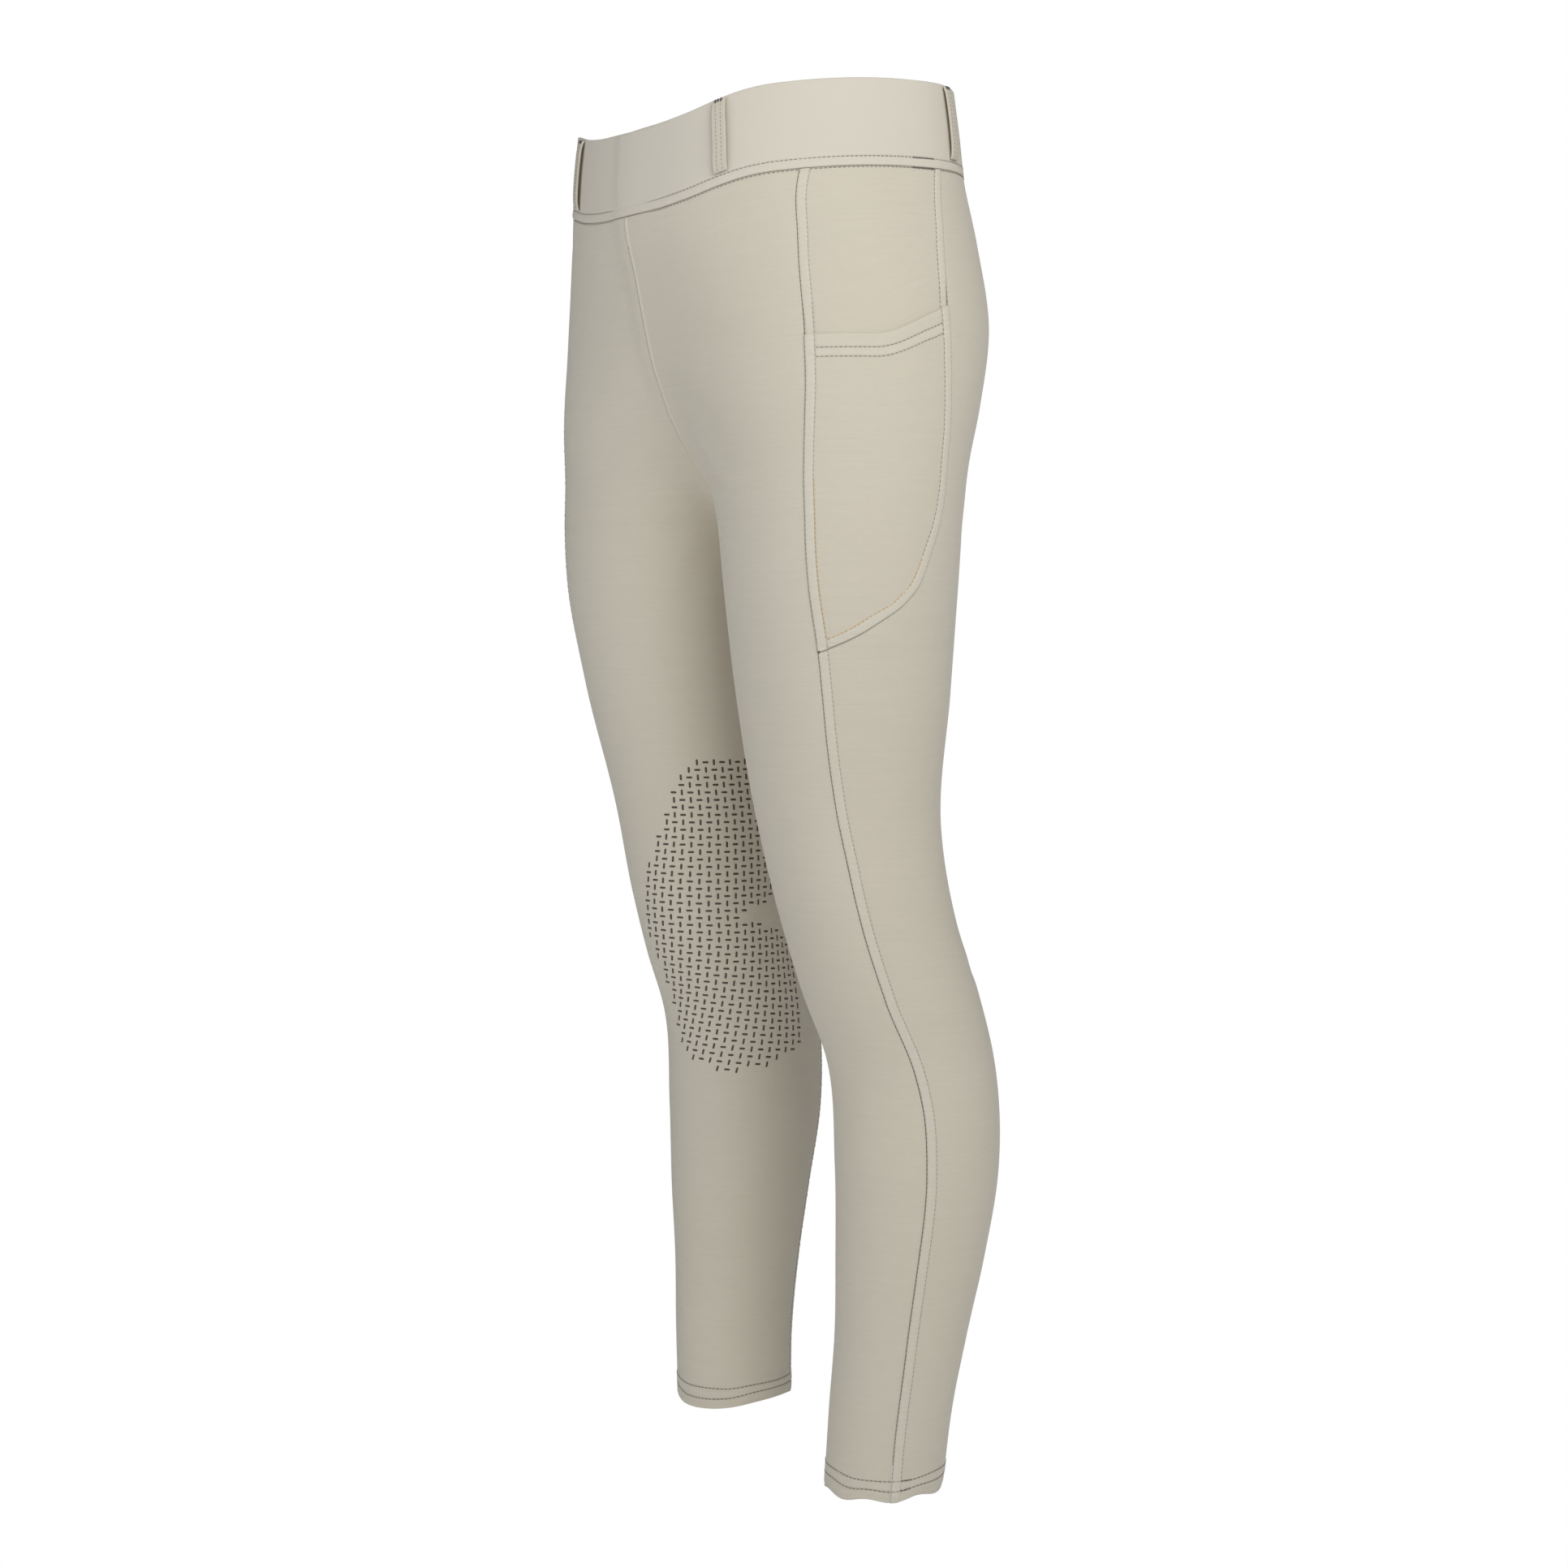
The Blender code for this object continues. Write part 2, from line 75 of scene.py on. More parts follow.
# Cross-sections of one leg and its half of the hips, in mm, from the hem up
Section = namedtuple("Section", "name height inner outer middle front back front_crest back_crest "
                                "roundness bridge seat")
SECTIONS = table(Section, (
    ("hem", 0, 45, 123, 32, 39, 40, 85, 81, 2.0, 4, 0),
    ("ankle", 50, 48, 128, 35, 41, 41, 88, 85, 2.0, 4, 0),
    ("low calf", 100, 48, 135, 40, 43, 44, 92, 90, 2.0, 4, 0),
    ("calf", 150, 46, 143, 45, 48, 49, 94, 94, 2.0, 5, 0),
    ("full calf", 210, 42, 149, 50, 53, 54, 95, 95, 2.0, 6, 0),
    ("below knee", 280, 38, 149, 46, 54, 54, 94, 94, 2.0, 7, 0),
    ("knee", 325, 34, 146, 32, 57, 57, 90, 90, 2.05, 8, 0),
    ("above knee", 370, 32, 142, 17, 56, 56, 87, 87, 2.1, 9, 0),
    ("low thigh", 432, 26, 141, 4, 58, 58, 83, 82, 2.1, 9, 0),
    ("mid thigh", 520, 22, 157, -6, 67, 67, 88, 88, 2.1, 11, 0),
    ("high thigh", 590, 19, 167, -11, 72, 73, 92, 92, 2.1, 13, 0),
    ("crotch", 628, 15, 171, -10, 75, 74, 89, 90, 2.1, 15, 0),
    ("rise", 660, 4, 172, -8, 78, 78, 84, 86, 2.1, 18, 12),
    ("seat", 700, -22, 171, -4, 88, 88, 72, 80, 2.15, 21, 40),
    ("hip", 750, -70, 167, 0, 97, 99, 48, 66, 2.2, 20, 40),
    ("high hip", 800, -120, 159, 0, 104, 99, 22, 42, 2.2, 14, 20),
    ("waist seam", 842, -149, 149, 0, 112, 100, 0, 12, 2.2, 5, 0),
    ("band middle", 869, -147, 147, 0, 111, 98, 0, 4, 2.2, 2, 0),
    ("band top", 896, -144, 144, 0, 109, 95, 0, 0, 2.2, 2, 0),
))

# Seams by the turn round the leg: 0 at the outer side, 90 at the front, 180 at the inner side
SeamPoint = namedtuple("SeamPoint", "height turn")
SIDE_SEAM = table(SeamPoint, (
    (0, 33.5), (51, 33.5), (112, 35), (207, 33), (239, 34), (280, 38), (324, 41.5), (364, 42),
    (406, 42.5), (447, 45), (494, 48.5), (544, 51), (588, 55), (616, 56), (644, 56), (710, 49),
    (741, 46.5), (781, 43.5), (820, 39), (842, 35.3),
))
INSEAM = table(SeamPoint, (
    (0, 232), (300, 232), (420, 226), (520, 212), (590, 194), (628, 180),
))
POCKET_TIP = 544 * MM
POCKET_SEAM = table(SeamPoint, (
    (544, 51), (546, 46), (554, 30.5), (563, 18), (573, 6), (586, -2.5), (606, -8), (627, -12.6),
    (645, -14), (669, -13.5), (695, -11), (714, -9), (740, -7.6), (757, -7.8), (808, -9.6), (842, -13),
))

# The pocket's mouth, and the cloth behind the pocket
MOUTH = 737 * MM
MOUTH_RISE = 27 * MM
MOUTH_RISE_SPREAD = 80 * MM
MOUTH_CLIMB = (-22, 22)
MOUTH_BACK_FADE = (-75, -14)
POCKET_PROUD = 0.5 * MM
POCKET_WALL = 1.2 * MM
BACKING_FADE = 24 * MM

# How far the waist lies above its height at the side, in mm, by the turn
DipPoint = namedtuple("DipPoint", "turn rise")
WAIST_DIP = table(DipPoint, (
    (-90, 10), (-45, 5), (-20, 2.4), (0, 0), (20, -2.8), (35, -5), (45, -6.6), (52, -8.8), (60, -12.8),
    (70, -18.3), (80, -21.5), (90, -22.6),
))
DIP_REACH = 142 * MM

# Each hem's edge runs in low waves, with a low place at the given turn, fading a little way up the leg
HemWave = namedtuple("HemWave", "side size waves low_turn")
HEM_WAVES = table(HemWave, ((LEFT, 1.3, 7, 31), (LEFT, 1.3, 1, 130), (RIGHT, 3.1, 2, 103)))
HEM_WAVE_REACH = 16 * MM
# The hem's stitch rows climb away from a low turn, in mm over a span of degrees, and sag there
HEM_LOW_TURN = {LEFT: 42, RIGHT: 115}
HEM_SAG = {LEFT: 0.8, RIGHT: 1.5}
HEM_CLIMB = 2.5
HEM_CLIMB_TURNS = (20, 60)
# Rows sewn twice, by their turns: where the hems' rows close, and on the left of the band
HEM_SEWN_TWICE = (14, 24)
BAND_SEWN_TWICE = (0, -9)

# The crest at the centre front: how much wider its far side is, and the heights over which it rises
CREST_FAR_SIDE = 2.6
CREST_FADE = (658 * MM, 738 * MM)

# Soft creases in the cloth of the legs, in mm and degrees: a ridge has a positive depth, a trough a
# negative one
Crease = namedtuple("Crease", "place turn row tilt length width depth sides")
BOTH = (LEFT, RIGHT)
CREASES = table(Crease, (
    ("groin hollow", 104, 690, 62, 46, 15, -1.5, BOTH),
    ("groin whisker", 120, 655, 38, 34, 7, -0.7, BOTH),
    ("groin ridge", 112, 668, 45, 30, 6, 0.5, (LEFT,)),
    ("inner thigh pull", 158, 600, 65, 40, 9, -0.6, BOTH),
    ("hip pull", 78, 742, 18, 50, 12, -0.5, (LEFT,)),
    ("hip pull", 70, 752, 12, 44, 13, -0.5, (RIGHT,)),
    ("below waistband", 58, 826, 4, 40, 7, -0.45, BOTH),
    ("seat fold", -72, 618, 10, 46, 10, -1.5, BOTH),
    ("seat fold end", -40, 606, 22, 30, 8, -0.7, (RIGHT,)),
    ("seat fold under", -95, 596, 14, 30, 7, -0.7, (LEFT,)),
    ("back of knee", -85, 362, 6, 34, 7, -1.2, BOTH),
    ("back of knee, lower", -64, 341, -12, 27, 6, -0.9, BOTH),
    ("back of knee, upper", -108, 384, 15, 24, 6, -0.7, (LEFT,)),
    ("back of knee, side", -48, 372, 24, 20, 5, -0.5, (RIGHT,)),
    ("knee ridge", -75, 352, -4, 28, 5, 0.6, BOTH),
    ("ankle", -70, 64, 12, 22, 7, -0.7, BOTH),
    ("ankle front", 88, 47, -14, 20, 7, -0.5, (LEFT,)),
    ("ankle back", -110, 38, -10, 18, 6, -0.5, (RIGHT,)),
    ("calf", -20, 128, 30, 30, 10, -0.35, (LEFT,)),
))

# The knee print on the right leg. At each height: the middle column's distance from the inseam, the columns'
# spacing, how much it grows away from the middle column, and how the rows tilt, in mm
PrintBand = namedtuple("PrintBand", "height middle spacing growth tilt")
PRINT_BANDS = table(PrintBand, (
    (242, 111, 7.2, 0.06, 0.06), (260, 105.5, 6.9, 0.06, 0.06), (292, 96.5, 6.3, 0.07, 0.066),
    (322, 88.5, 6.2, 0.12, 0.02), (352, 79, 6.1, 0.12, 0), (384, 71, 6.15, 0.05, 0),
    (416, 66.5, 5.95, 0, 0), (468, 63.5, 5.7, 0, 0),
))
# The print's outline: the first and last column of dashes in its rows, counted down from the top
PrintEdge = namedtuple("PrintEdge", "row first last")
PRINT_EDGES = table(PrintEdge, (
    (-0.6, -2.8, 5.5), (1, -4.3, 7.5), (2, -5.3, 8.5), (4, -6.3, 9.5), (7, -7.3, 10.3), (11, -8.5, 10.5),
    (14, -9.2, 10.5), (18, -9.5, 10.5), (23, -9.5, 10.5), (26, -8.6, 10.5), (30, -7.3, 10.5),
    (34, -6.4, 10.5), (38, -4.8, 10.4), (39, -4.1, 9.5), (40, -3.2, 8), (41, -2.5, 6.5), (42.3, 1, 3),
))
PRINT_TOP = 465 * MM
# The wedge without dashes: its tip's column, its middle row, and how fast it opens towards the inseam
WEDGE_TIP, WEDGE_ROW, WEDGE_OPENING = 0.3, 20.6, 0.34
WEDGE_START = 1.3
# The left leg's cloth sits turned inward, so its print lies further round
PRINT_TURNED_IN = 64 * MM
SEAM_CLEARANCE = 9 * MM

# The belt loops, each by the turn that it stands at
BeltLoop = namedtuple("BeltLoop", "name turn side")
BELT_LOOPS = table(BeltLoop, (
    ("front_right", 63, RIGHT), ("front_left", 58.5, LEFT), ("back_left", -21, LEFT),
    ("back_right", -21, RIGHT),
))
LOOP_WIDTH = 10 * MM
LOOP_WALL = 1.3 * MM
LOOP_STAND_OFF = 1.6 * MM
LOOP_SQUARENESS = 6
LOOP_ROW_AT = 0.36
# Half of a tape's outline, as shares of its half width and its thickness, from the top's middle down
TAPE_HALF = ((.2, 1.08), (.46, .9), (.7, 1.04), (.88, 1), (.97, .85), (1, .5), (.97, .15), (.88, 0), (.3, 0))
# Where the bar tacks lie, as shares of a tape's half width and half length
TACK_REACH = 0.62
TACK_ROWS = (0.93, 0.995)
# Where a loop's foot and head lie, as shares of the band's height, and how far it leans forward
LOOP_FOOT = 0.13
LOOP_HEAD = 0.97
LOOP_LEAN = 2.5 * MM
# How far the band's outside stands out from the legs' cloth
BAND_PROUD = 0.5 * MM

# How far inside its edge a seam's first stitch row lies, and how far out of the cloth
FIRST_ROW = 0.35 * MM
THREAD_OUT = 0.05 * MM
# Where the tan rows run: heights above the pocket's tip, and shares of the pocket's seam from its tip up
TAN_ROWS = (8 * MM, 105 * MM)
TAN_SHARE = (0.035, 0.3)
TIP_CLEARANCE = 0.025

# The studio's lamps, by the side that they stand on and their height, in degrees
Lamp = namedtuple("Lamp", "name azimuth height strength colour")
LAMPS = table(Lamp, (
    ("left fill", -20, 5, 0.88, (0.92, 0.96, 1.03)),
    ("front fill", 28, 5, 0.66, (1.0, 1.0, 1.0)),
    ("key", 75, 25, 2.25, (1.0, 1.0, 1.0)),
    ("side", 108, 8, 0.25, (1.0, 1.0, 1.0)),
    ("back", 130, 25, 0.3, (1.0, 1.0, 1.0)),
))

FLOOR_COLOUR = (0.92, 0.92, 0.92)
ROOM_COLOUR = (0.98, 0.99, 1.0)

# Points of the meshes
ROW_STEP = 1.3 * MM
EDGE_STEPS = (0.0, 0.25, 0.7, 1.3, 2.0, 2.8, 3.7, 4.6, 5.3, 5.8, 6.3, 6.8, 7.5, 8.6)
LEG_COLUMNS = {"front": 44, "back": 60, "pocket": 24}
INNER_STEP = 4
# The part of its pitch that a stitch covers
STITCH_ENDS = (0.15, 0.85)
# A strip's mask from here up hides the relief of what it crosses
STRIP_COVERS = 0.6
# How far a seam's kind takes to change, on either side of its height
KIND_CHANGE = 4 * MM


# The cloth's form

def smooth_curve(at, knots, values, tight=True):
    """Read a smooth curve through the knots; a tight one never swings past them."""
    knots, values = np.asarray(knots, float), np.asarray(values, float)
    at = np.clip(np.asarray(at, float), knots[0], knots[-1])
    step = np.diff(knots)
    rise = np.diff(values) / step
    slope = np.zeros_like(values)
    slope[0], slope[-1] = rise[0], rise[-1]
    before, after = 2 * step[1:] + step[:-1], step[1:] + 2 * step[:-1]
    if tight:
        steady = rise[:-1] * rise[1:] > 0
        safe = np.where(steady, rise[:-1] * rise[1:], 1.0)
        mean = (before + after) * safe / np.where(steady, before * rise[1:] + after * rise[:-1], 1.0)
        slope[1:-1] = np.where(steady, mean, 0.0)
    else:
        slope[1:-1] = (rise[:-1] * step[1:] + rise[1:] * step[:-1]) / (step[1:] + step[:-1])
    k = np.clip(np.searchsorted(knots, at, side="right") - 1, 0, len(knots) - 2)
    t = (at - knots[k]) / step[k]
    return ((2 * t**3 - 3 * t**2 + 1) * values[k] + (t**3 - 2 * t**2 + t) * step[k] * slope[k]
            + (3 * t**2 - 2 * t**3) * values[k + 1] + (t**3 - t**2) * step[k] * slope[k + 1])


def read_table(rows, column, by, at, unit=1.0, scale=1.0, tight=True):
    """Read a column times a scale, as a smooth curve over another column, whose numbers are in a unit."""
    knots = [getattr(row, by) * unit for row in rows]
    return smooth_curve(at, knots, [getattr(row, column) * scale for row in rows], tight)


def wrapped(turn):
    """The same turn between -180 and 180."""
    return (np.asarray(turn, float) + 180) % 360 - 180


def smooth_step(low, high, at):
    """0 below low, 1 above high, and an S-curve between them."""
    t = np.clip((np.asarray(at, float) - low) / (high - low), 0.0, 1.0)
    return t * t * (3 - 2 * t)


def section_at(height):
    """The cross-section's sizes at a height, in metres."""
    scales = {column: 1.0 if column == "roundness" else MM for column in Section._fields[2:]}
    return {column: read_table(SECTIONS, column, "height", height, MM, scale, tight=False)
            for column, scale in scales.items()}


def quarter_sizes(size, across, along):
    """Crest, reach and depth of the quarter oval that a point lies in."""
    crest = np.where(along >= 0, size["front_crest"], size["back_crest"])
    depth = np.where(along >= 0, size["front"], size["back"])
    inner = np.where(along >= 0, size["inner"], size["inner"] - size["seat"])
    reach = np.where(across >= 0, size["outer"] - crest, crest - inner)
    return crest, reach, depth


def leg_point(turn, size):
    """Where a point of the left leg's surface lies, as x and y."""
    angle = np.radians(turn)
    power = 2.0 / size["roundness"]
    across, along = np.cos(angle), np.sin(angle)
    crest, reach, depth = quarter_sizes(size, across, along)
    spread = crest + reach * np.sign(across) * np.abs(across) ** power
    y = size["middle"] - depth * np.sign(along) * np.abs(along) ** power
    return np.sqrt(np.maximum(spread**2 - size["bridge"] ** 2, 0.0)), y


def oval_value(x, y, size):
    """Below 1 inside the leg's surface and above 1 outside it."""
    spread = np.sqrt(x**2 + size["bridge"] ** 2)
    along = size["middle"] - y
    crest, _, depth = quarter_sizes(size, np.ones_like(x), along)
    crest, reach, depth = quarter_sizes(size, spread - crest, along)
    power = size["roundness"]
    return (np.abs(spread - crest) / reach) ** power + (np.abs(along) / depth) ** power


def leg_normal(x, y, height, size, step=0.2 * MM):
    """The outward direction at points of the left leg's surface."""
    above, below = section_at(height + step), section_at(height - step)
    slopes = (oval_value(x + step, y, size) - oval_value(x - step, y, size),
              oval_value(x, y + step, size) - oval_value(x, y - step, size),
              oval_value(x, y, above) - oval_value(x, y, below))
    normal = np.stack(slopes, -1)
    return normal / np.linalg.norm(normal, axis=-1, keepdims=True)


def waist_dip(turn):
    """How far the waist lies above its height at the side."""
    turn = wrapped(turn)
    turn = np.where(turn > 90, 180 - turn, turn)
    turn = np.where(turn < -90, -180 - turn, turn)
    return read_table(WAIST_DIP, "rise", "turn", turn) * MM


def mouth_rise(turn, row):
    """How far a row is lifted to follow the pocket's mouth."""
    turn = wrapped(turn)
    bump = (1 - smooth_step(*MOUTH_CLIMB, turn)) * smooth_step(*MOUTH_BACK_FADE, turn)
    return MOUTH_RISE * bump * (1 - smooth_step(0, MOUTH_RISE_SPREAD, np.abs(row - MOUTH)))


def hem_wave(turn, row, side):
    """How far the hem's edge is lifted by its waves."""
    lift = sum(-wave.size * np.cos(np.radians(wave.waves * (turn - wave.low_turn)))
               for wave in HEM_WAVES if wave.side == side)
    return lift * MM * (1 - smooth_step(0, HEM_WAVE_REACH, row))


def cloth_frame(turn, row, side):
    """Points of the cloth's surface and its outward directions, for one side of the body."""
    turn, row = np.broadcast_arrays(np.asarray(turn, float), np.asarray(row, float))
    height = row + mouth_rise(turn, row)
    size = section_at(height)
    x, y = leg_point(turn, size)
    normal = leg_normal(x, y, height, size)
    drop = smooth_step(WAIST_SEAM - DIP_REACH, WAIST_SEAM, height) * waist_dip(turn)
    lift = RIGHT_LIFT * np.clip(1 - height / CROTCH, 0, 1) if side == RIGHT else 0.0
    z = height + hem_wave(turn, row, side) + drop + lift - HOLD_HEIGHT
    return np.stack([x, y, z], -1), normal


def surface_points(turn, row, side):
    """Points of the cloth's surface before mirroring."""
    return cloth_frame(turn, row, side)[0]


def placed(turn, row, side, out):
    """Points moved out from the cloth's surface and their outward directions, on their own side."""
    points, normals = cloth_frame(turn, row, side)
    points = points + normals * np.asarray(out, float)[..., None]
    return points * (side, 1, 1), normals * (side, 1, 1)


def cloth_points(turn, row, side, out):
    """Points moved out from the cloth's surface, kept off the middle of the body."""
    points, _ = placed(turn, row, side, out)
    points[..., 0] = side * np.maximum(side * points[..., 0], SEAM_GAP / 2)
    return points


def crease_depth(turn, row, side):
    """The soft ridges and troughs of the cloth."""
    row = row / MM
    depth = np.zeros(np.broadcast(turn, row).shape)
    for crease in CREASES:
        if side not in crease.sides:
            continue
        wide = section_at(crease.row * MM)
        degree = np.pi / 180 * (wide["front"] + wide["outer"] - wide["front_crest"]) / 2 / MM
        across = wrapped(turn - crease.turn) * degree
        tilt = np.radians(crease.tilt)
        along = across * np.cos(tilt) + (row - crease.row) * np.sin(tilt)
        aside = (row - crease.row) * np.cos(tilt) - across * np.sin(tilt)
        aside = aside + 0.12 * crease.width * np.sin(along / crease.length * 4.1 + crease.row)
        end = np.clip(1 - (along / crease.length) ** 2, 0, 1) ** 2
        depth += crease.depth * MM * end * np.exp(-((aside / crease.width) ** 2))
    return depth


# Seams

def seam_turn(seam, row):
    """The turn at which a seam crosses a row."""
    return read_table(seam, "turn", "height", row, MM)


def side_seam(row):
    return seam_turn(SIDE_SEAM, row)


def pocket_seam(row):
    return np.where(row > POCKET_TIP, seam_turn(POCKET_SEAM, row), side_seam(row))


def middle_end(row, inner, crest, bridge):
    """How far past the crest a section runs before it meets the middle of the body."""
    share = np.clip((crest - bridge) / (crest - inner), 0, 1)
    return 90 + np.degrees(np.arcsin(share ** (section_at(row)["roundness"] / 2)))


def front_edge(row):
    """The centre front seam above the crotch and the inseam below it."""
    size = section_at(row)
    centre = middle_end(row, size["inner"], size["front_crest"], size["bridge"])
    return np.where(row > CROTCH, centre, seam_turn(INSEAM, row))


def back_edge(row):
    """The centre back seam above the crotch and the inseam below it."""
    size = section_at(row)
    centre = middle_end(row, size["inner"] - size["seat"], size["back_crest"], size["bridge"])
    return np.where(row > CROTCH, -centre, seam_turn(INSEAM, row) - 360)


def run_along(points, axis):
    """Distance along each line of points, from 0."""
    steps = np.linalg.norm(np.diff(points, axis=axis), axis=-1)
    start = np.zeros_like(np.take(steps, [0], axis=axis))
    return np.concatenate([start, np.cumsum(steps, axis=axis)], axis=axis)


def wobble(at, seed=0.0):
    """An uneven wave between -1 and 1, for puckers that are never quite alike."""
    return (0.5 * np.sin(at + 1.7 * seed) + 0.3 * np.sin(1.37 * at + 2.1 + seed)
            + 0.2 * np.sin(0.61 * at + 0.4 - seed))


# Nodes of the materials

class Wire:
    """A shader socket, wrapped so that sums and products of it are written as Python expressions."""

    def __init__(self, board, socket):
        self.board, self.socket = board, socket

    def joined(self, operation, first, second):
        kind = "ShaderNodeVectorMath" if self.socket.type in ("VECTOR", "RGBA") else "ShaderNodeMath"
        return self.board.add(kind, {"operation": operation}, {0: first, 1: second})

    def __add__(self, other):
        return self.joined("ADD", self, other)

    def __radd__(self, other):
        return self.joined("ADD", other, self)

    def __sub__(self, other):
        return self.joined("SUBTRACT", self, other)

    def __rsub__(self, other):
        return self.joined("SUBTRACT", other, self)

    def __mul__(self, other):
        return self.joined("MULTIPLY", self, other)

    def __rmul__(self, other):
        return self.joined("MULTIPLY", other, self)


class Board:
    """The node tree of one material or world, with one method that adds any node."""

    def __init__(self, owner, shader):
        owner.use_nodes = True
        self.owner, self.tree = owner, owner.node_tree
        self.shader = self.tree.nodes[shader]

    def set_shader(self, **constants):
        """Sets the shader's own sockets, named with _ for each space."""
        for socket, value in constants.items():
            self.shader.inputs[socket.replace("_", " ")].default_value = value

    def add(self, kind, settings=None, sockets=None, output=0):
        """Adds a node: its settings first, then the values or links of its sockets."""
        node = self.tree.nodes.new(kind)
        for setting, value in (settings or {}).items():
            if setting == "stops":
                for element, (position, colour) in zip(node.color_ramp.elements, value):
                    element.position, element.color = position, (*[colour] * 3, 1.0)
            else:
                setattr(node, setting, value)
        for name, value in (sockets or {}).items():
            socket = node.inputs[name]
            if isinstance(value, Wire):
                self.tree.links.new(value.socket, socket)
            elif socket.type in ("VECTOR", "RGBA") and not hasattr(value, "__len__"):
                socket.default_value = (value,) * len(socket.default_value)
            elif socket.type == "RGBA":
                socket.default_value = (*value[:3], 1.0)
            else:
                socket.default_value = value
        return Wire(self, node.outputs[output])

    def mix(self, factor, first, second):
        """A colour between two others."""
        return self.add("ShaderNodeMix", {"data_type": "RGBA"}, {0: factor, 6: first, 7: second}, output=2)

    def noise(self, where, scale, detail=2.0, roughness=0.5):
        return self.add("ShaderNodeTexNoise", {"noise_dimensions": "3D"},
                        {"Vector": where, "Scale": scale, "Detail": detail, "Roughness": roughness})

    def bands(self, where, way, scale, distortion=0.0, detail=2.0, detail_scale=1.0):
        return self.add("ShaderNodeTexWave", {"wave_type": "BANDS", "bands_direction": way},
                        {"Vector": where, "Scale": scale, "Distortion": distortion, "Detail": detail,
                         "Detail Scale": detail_scale})

    def scaled(self, where, along, up):
        """A place on the cloth, stretched along and across its rows."""
        return where * (along, up, 1.0)

    def mask(self, name):
        """A value stored on the mesh's points."""
        kind = {"attribute_name": name, "attribute_type": "GEOMETRY"}
        return self.add("ShaderNodeAttribute", kind, output=2)

    def cloth_place(self):
        return self.add("ShaderNodeUVMap", {"uv_map": "cloth"})

    def feed(self, socket, wire):
        self.tree.links.new(wire.socket, self.shader.inputs[socket])

    def white_to_camera(self, kind, shader_output, final):
        """Shows the camera plain white, while the shader goes on lighting the scene."""
        seen = self.add(kind, {}, {"Color": (1, 1, 1), "Strength": 1.0})
        straight = self.add("ShaderNodeLightPath")
        lit = Wire(self, self.shader.outputs[shader_output])
        mixed = self.add("ShaderNodeMixShader", {}, {0: straight, 1: lit, 2: seen})
        self.tree.links.new(mixed.socket, self.tree.nodes[final].inputs["Surface"])

    def bump(self, height, strength, distance):
        """Raises the surface by a height texture."""
        sockets = {"Strength": strength, "Distance": distance, "Height": height}
        self.feed("Normal", self.add("ShaderNodeBump", {}, sockets))


def material_board(name, roughness, colour, **constants):
    """The board of a new material of one colour."""
    material = bpy.data.materials.new(name)
    material.diffuse_color = (*colour, 1.0)
    board = Board(material, "Principled BSDF")
    board.set_shader(Base_Color=(*colour, 1.0), Roughness=roughness, **constants)
    return board


def knit_material(name, colour, finish, rib_share=1.0):
    """Fine matte knit: faint slubs along the rows, soft mottling, fine ribs, paler seam strips that are a
    painted highlight, and stitch grooves darkened by painted shade.
    """
    board = material_board(name, finish.knit_roughness, colour, Sheen_Weight=finish.sheen,
                           Sheen_Roughness=0.45, Specular_IOR_Level=0.25)
    place = board.cloth_place()
    slub = board.noise(board.scaled(place, 16.0, 520.0), 1.0, 3.0, 0.6)
    fine_slub = board.noise(board.scaled(place, 60.0, 1500.0), 1.0, 2.0, 0.5)
    mottle = board.noise(board.scaled(place, 9.0, 7.0), 1.0, 2.0, 0.5)
    heather = board.noise(board.scaled(place, 900.0, 1100.0), 1.0, 1.0, 0.5)
    tone = (slub - 0.5) * finish.slub + (fine_slub - 0.5) * finish.slub * 0.7
    tone = tone + (mottle - 0.5) * finish.mottle + (heather - 0.5) * finish.heather + 1.0
    warm = board.mix(board.noise(board.scaled(place, 5.0, 6.0), 1.0, 1.0, 0.4),
                     finish.cool_tint, finish.warm_tint)
    # The strip mask paints raised seam strips, crowns and puckers paler: a painted highlight.
    colours = board.mix(board.mask("strip"), colour, finish.strip_highlight_colour)
    # The groove mask paints stitch grooves and recesses darker: painted shade.
    colours = board.mix(board.mask("groove"), colours, finish.groove_shade_colour)
    toned = board.add("ShaderNodeVectorMath", {"operation": "SCALE"}, {0: colours * warm, "Scale": tone})
    board.feed("Base Color", toned)
    wale = board.bands(place, "X", 330.0 * rib_share, 0.6, 1.0, 2.0)
    course = board.bands(place, "Y", 260.0, 0.8, 1.0, 2.0)
    board.bump(wale * 0.5 + course * 0.35 + slub * 0.8 + fine_slub * 0.4, finish.knit_bump, 0.12 * MM)
    return board.owner


def thread_material(name, colour, finish):
    """Spun sewing thread, a little uneven in tone, with a soft twist in its surface."""
    board = material_board(name, 0.55, colour, Sheen_Weight=0.2, Specular_IOR_Level=0.35)
    place = board.cloth_place()
    tone = board.noise(board.scaled(place, 700.0, 90.0), 1.0, 2.0)
    board.feed("Base Color", board.mix(tone, [c * 0.72 for c in colour], [min(1, c * 1.3) for c in colour]))
    twist = board.bands(place, "DIAGONAL", 420.0)
    board.bump(twist, finish.knit_bump, 0.06 * MM)
    return board.owner


def grip_material(name, colour):
    """Dark silicone print: slightly glossy, with a faint skin."""
    board = material_board(name, 0.42, colour, Specular_IOR_Level=0.5, Coat_Weight=0.12, Coat_Roughness=0.3)
    place = board.cloth_place()
    skin = board.noise(board.scaled(place, 600.0, 600.0), 1.0, 2.0)
    board.feed("Base Color", board.mix(skin, [c * 0.75 for c in colour], [c * 1.5 for c in colour]))
    board.bump(skin, 0.3, 0.05 * MM)
    return board.owner


def floor_material(name, colour, glow):
    """A pale floor that looks plain white to the camera and gives the tights a little light from below."""
    board = material_board(name, 0.9, colour, Emission_Color=(1, 1, 1, 1), Emission_Strength=glow)
    board.white_to_camera("ShaderNodeEmission", "BSDF", "Material Output")
    return board.owner


# Meshes

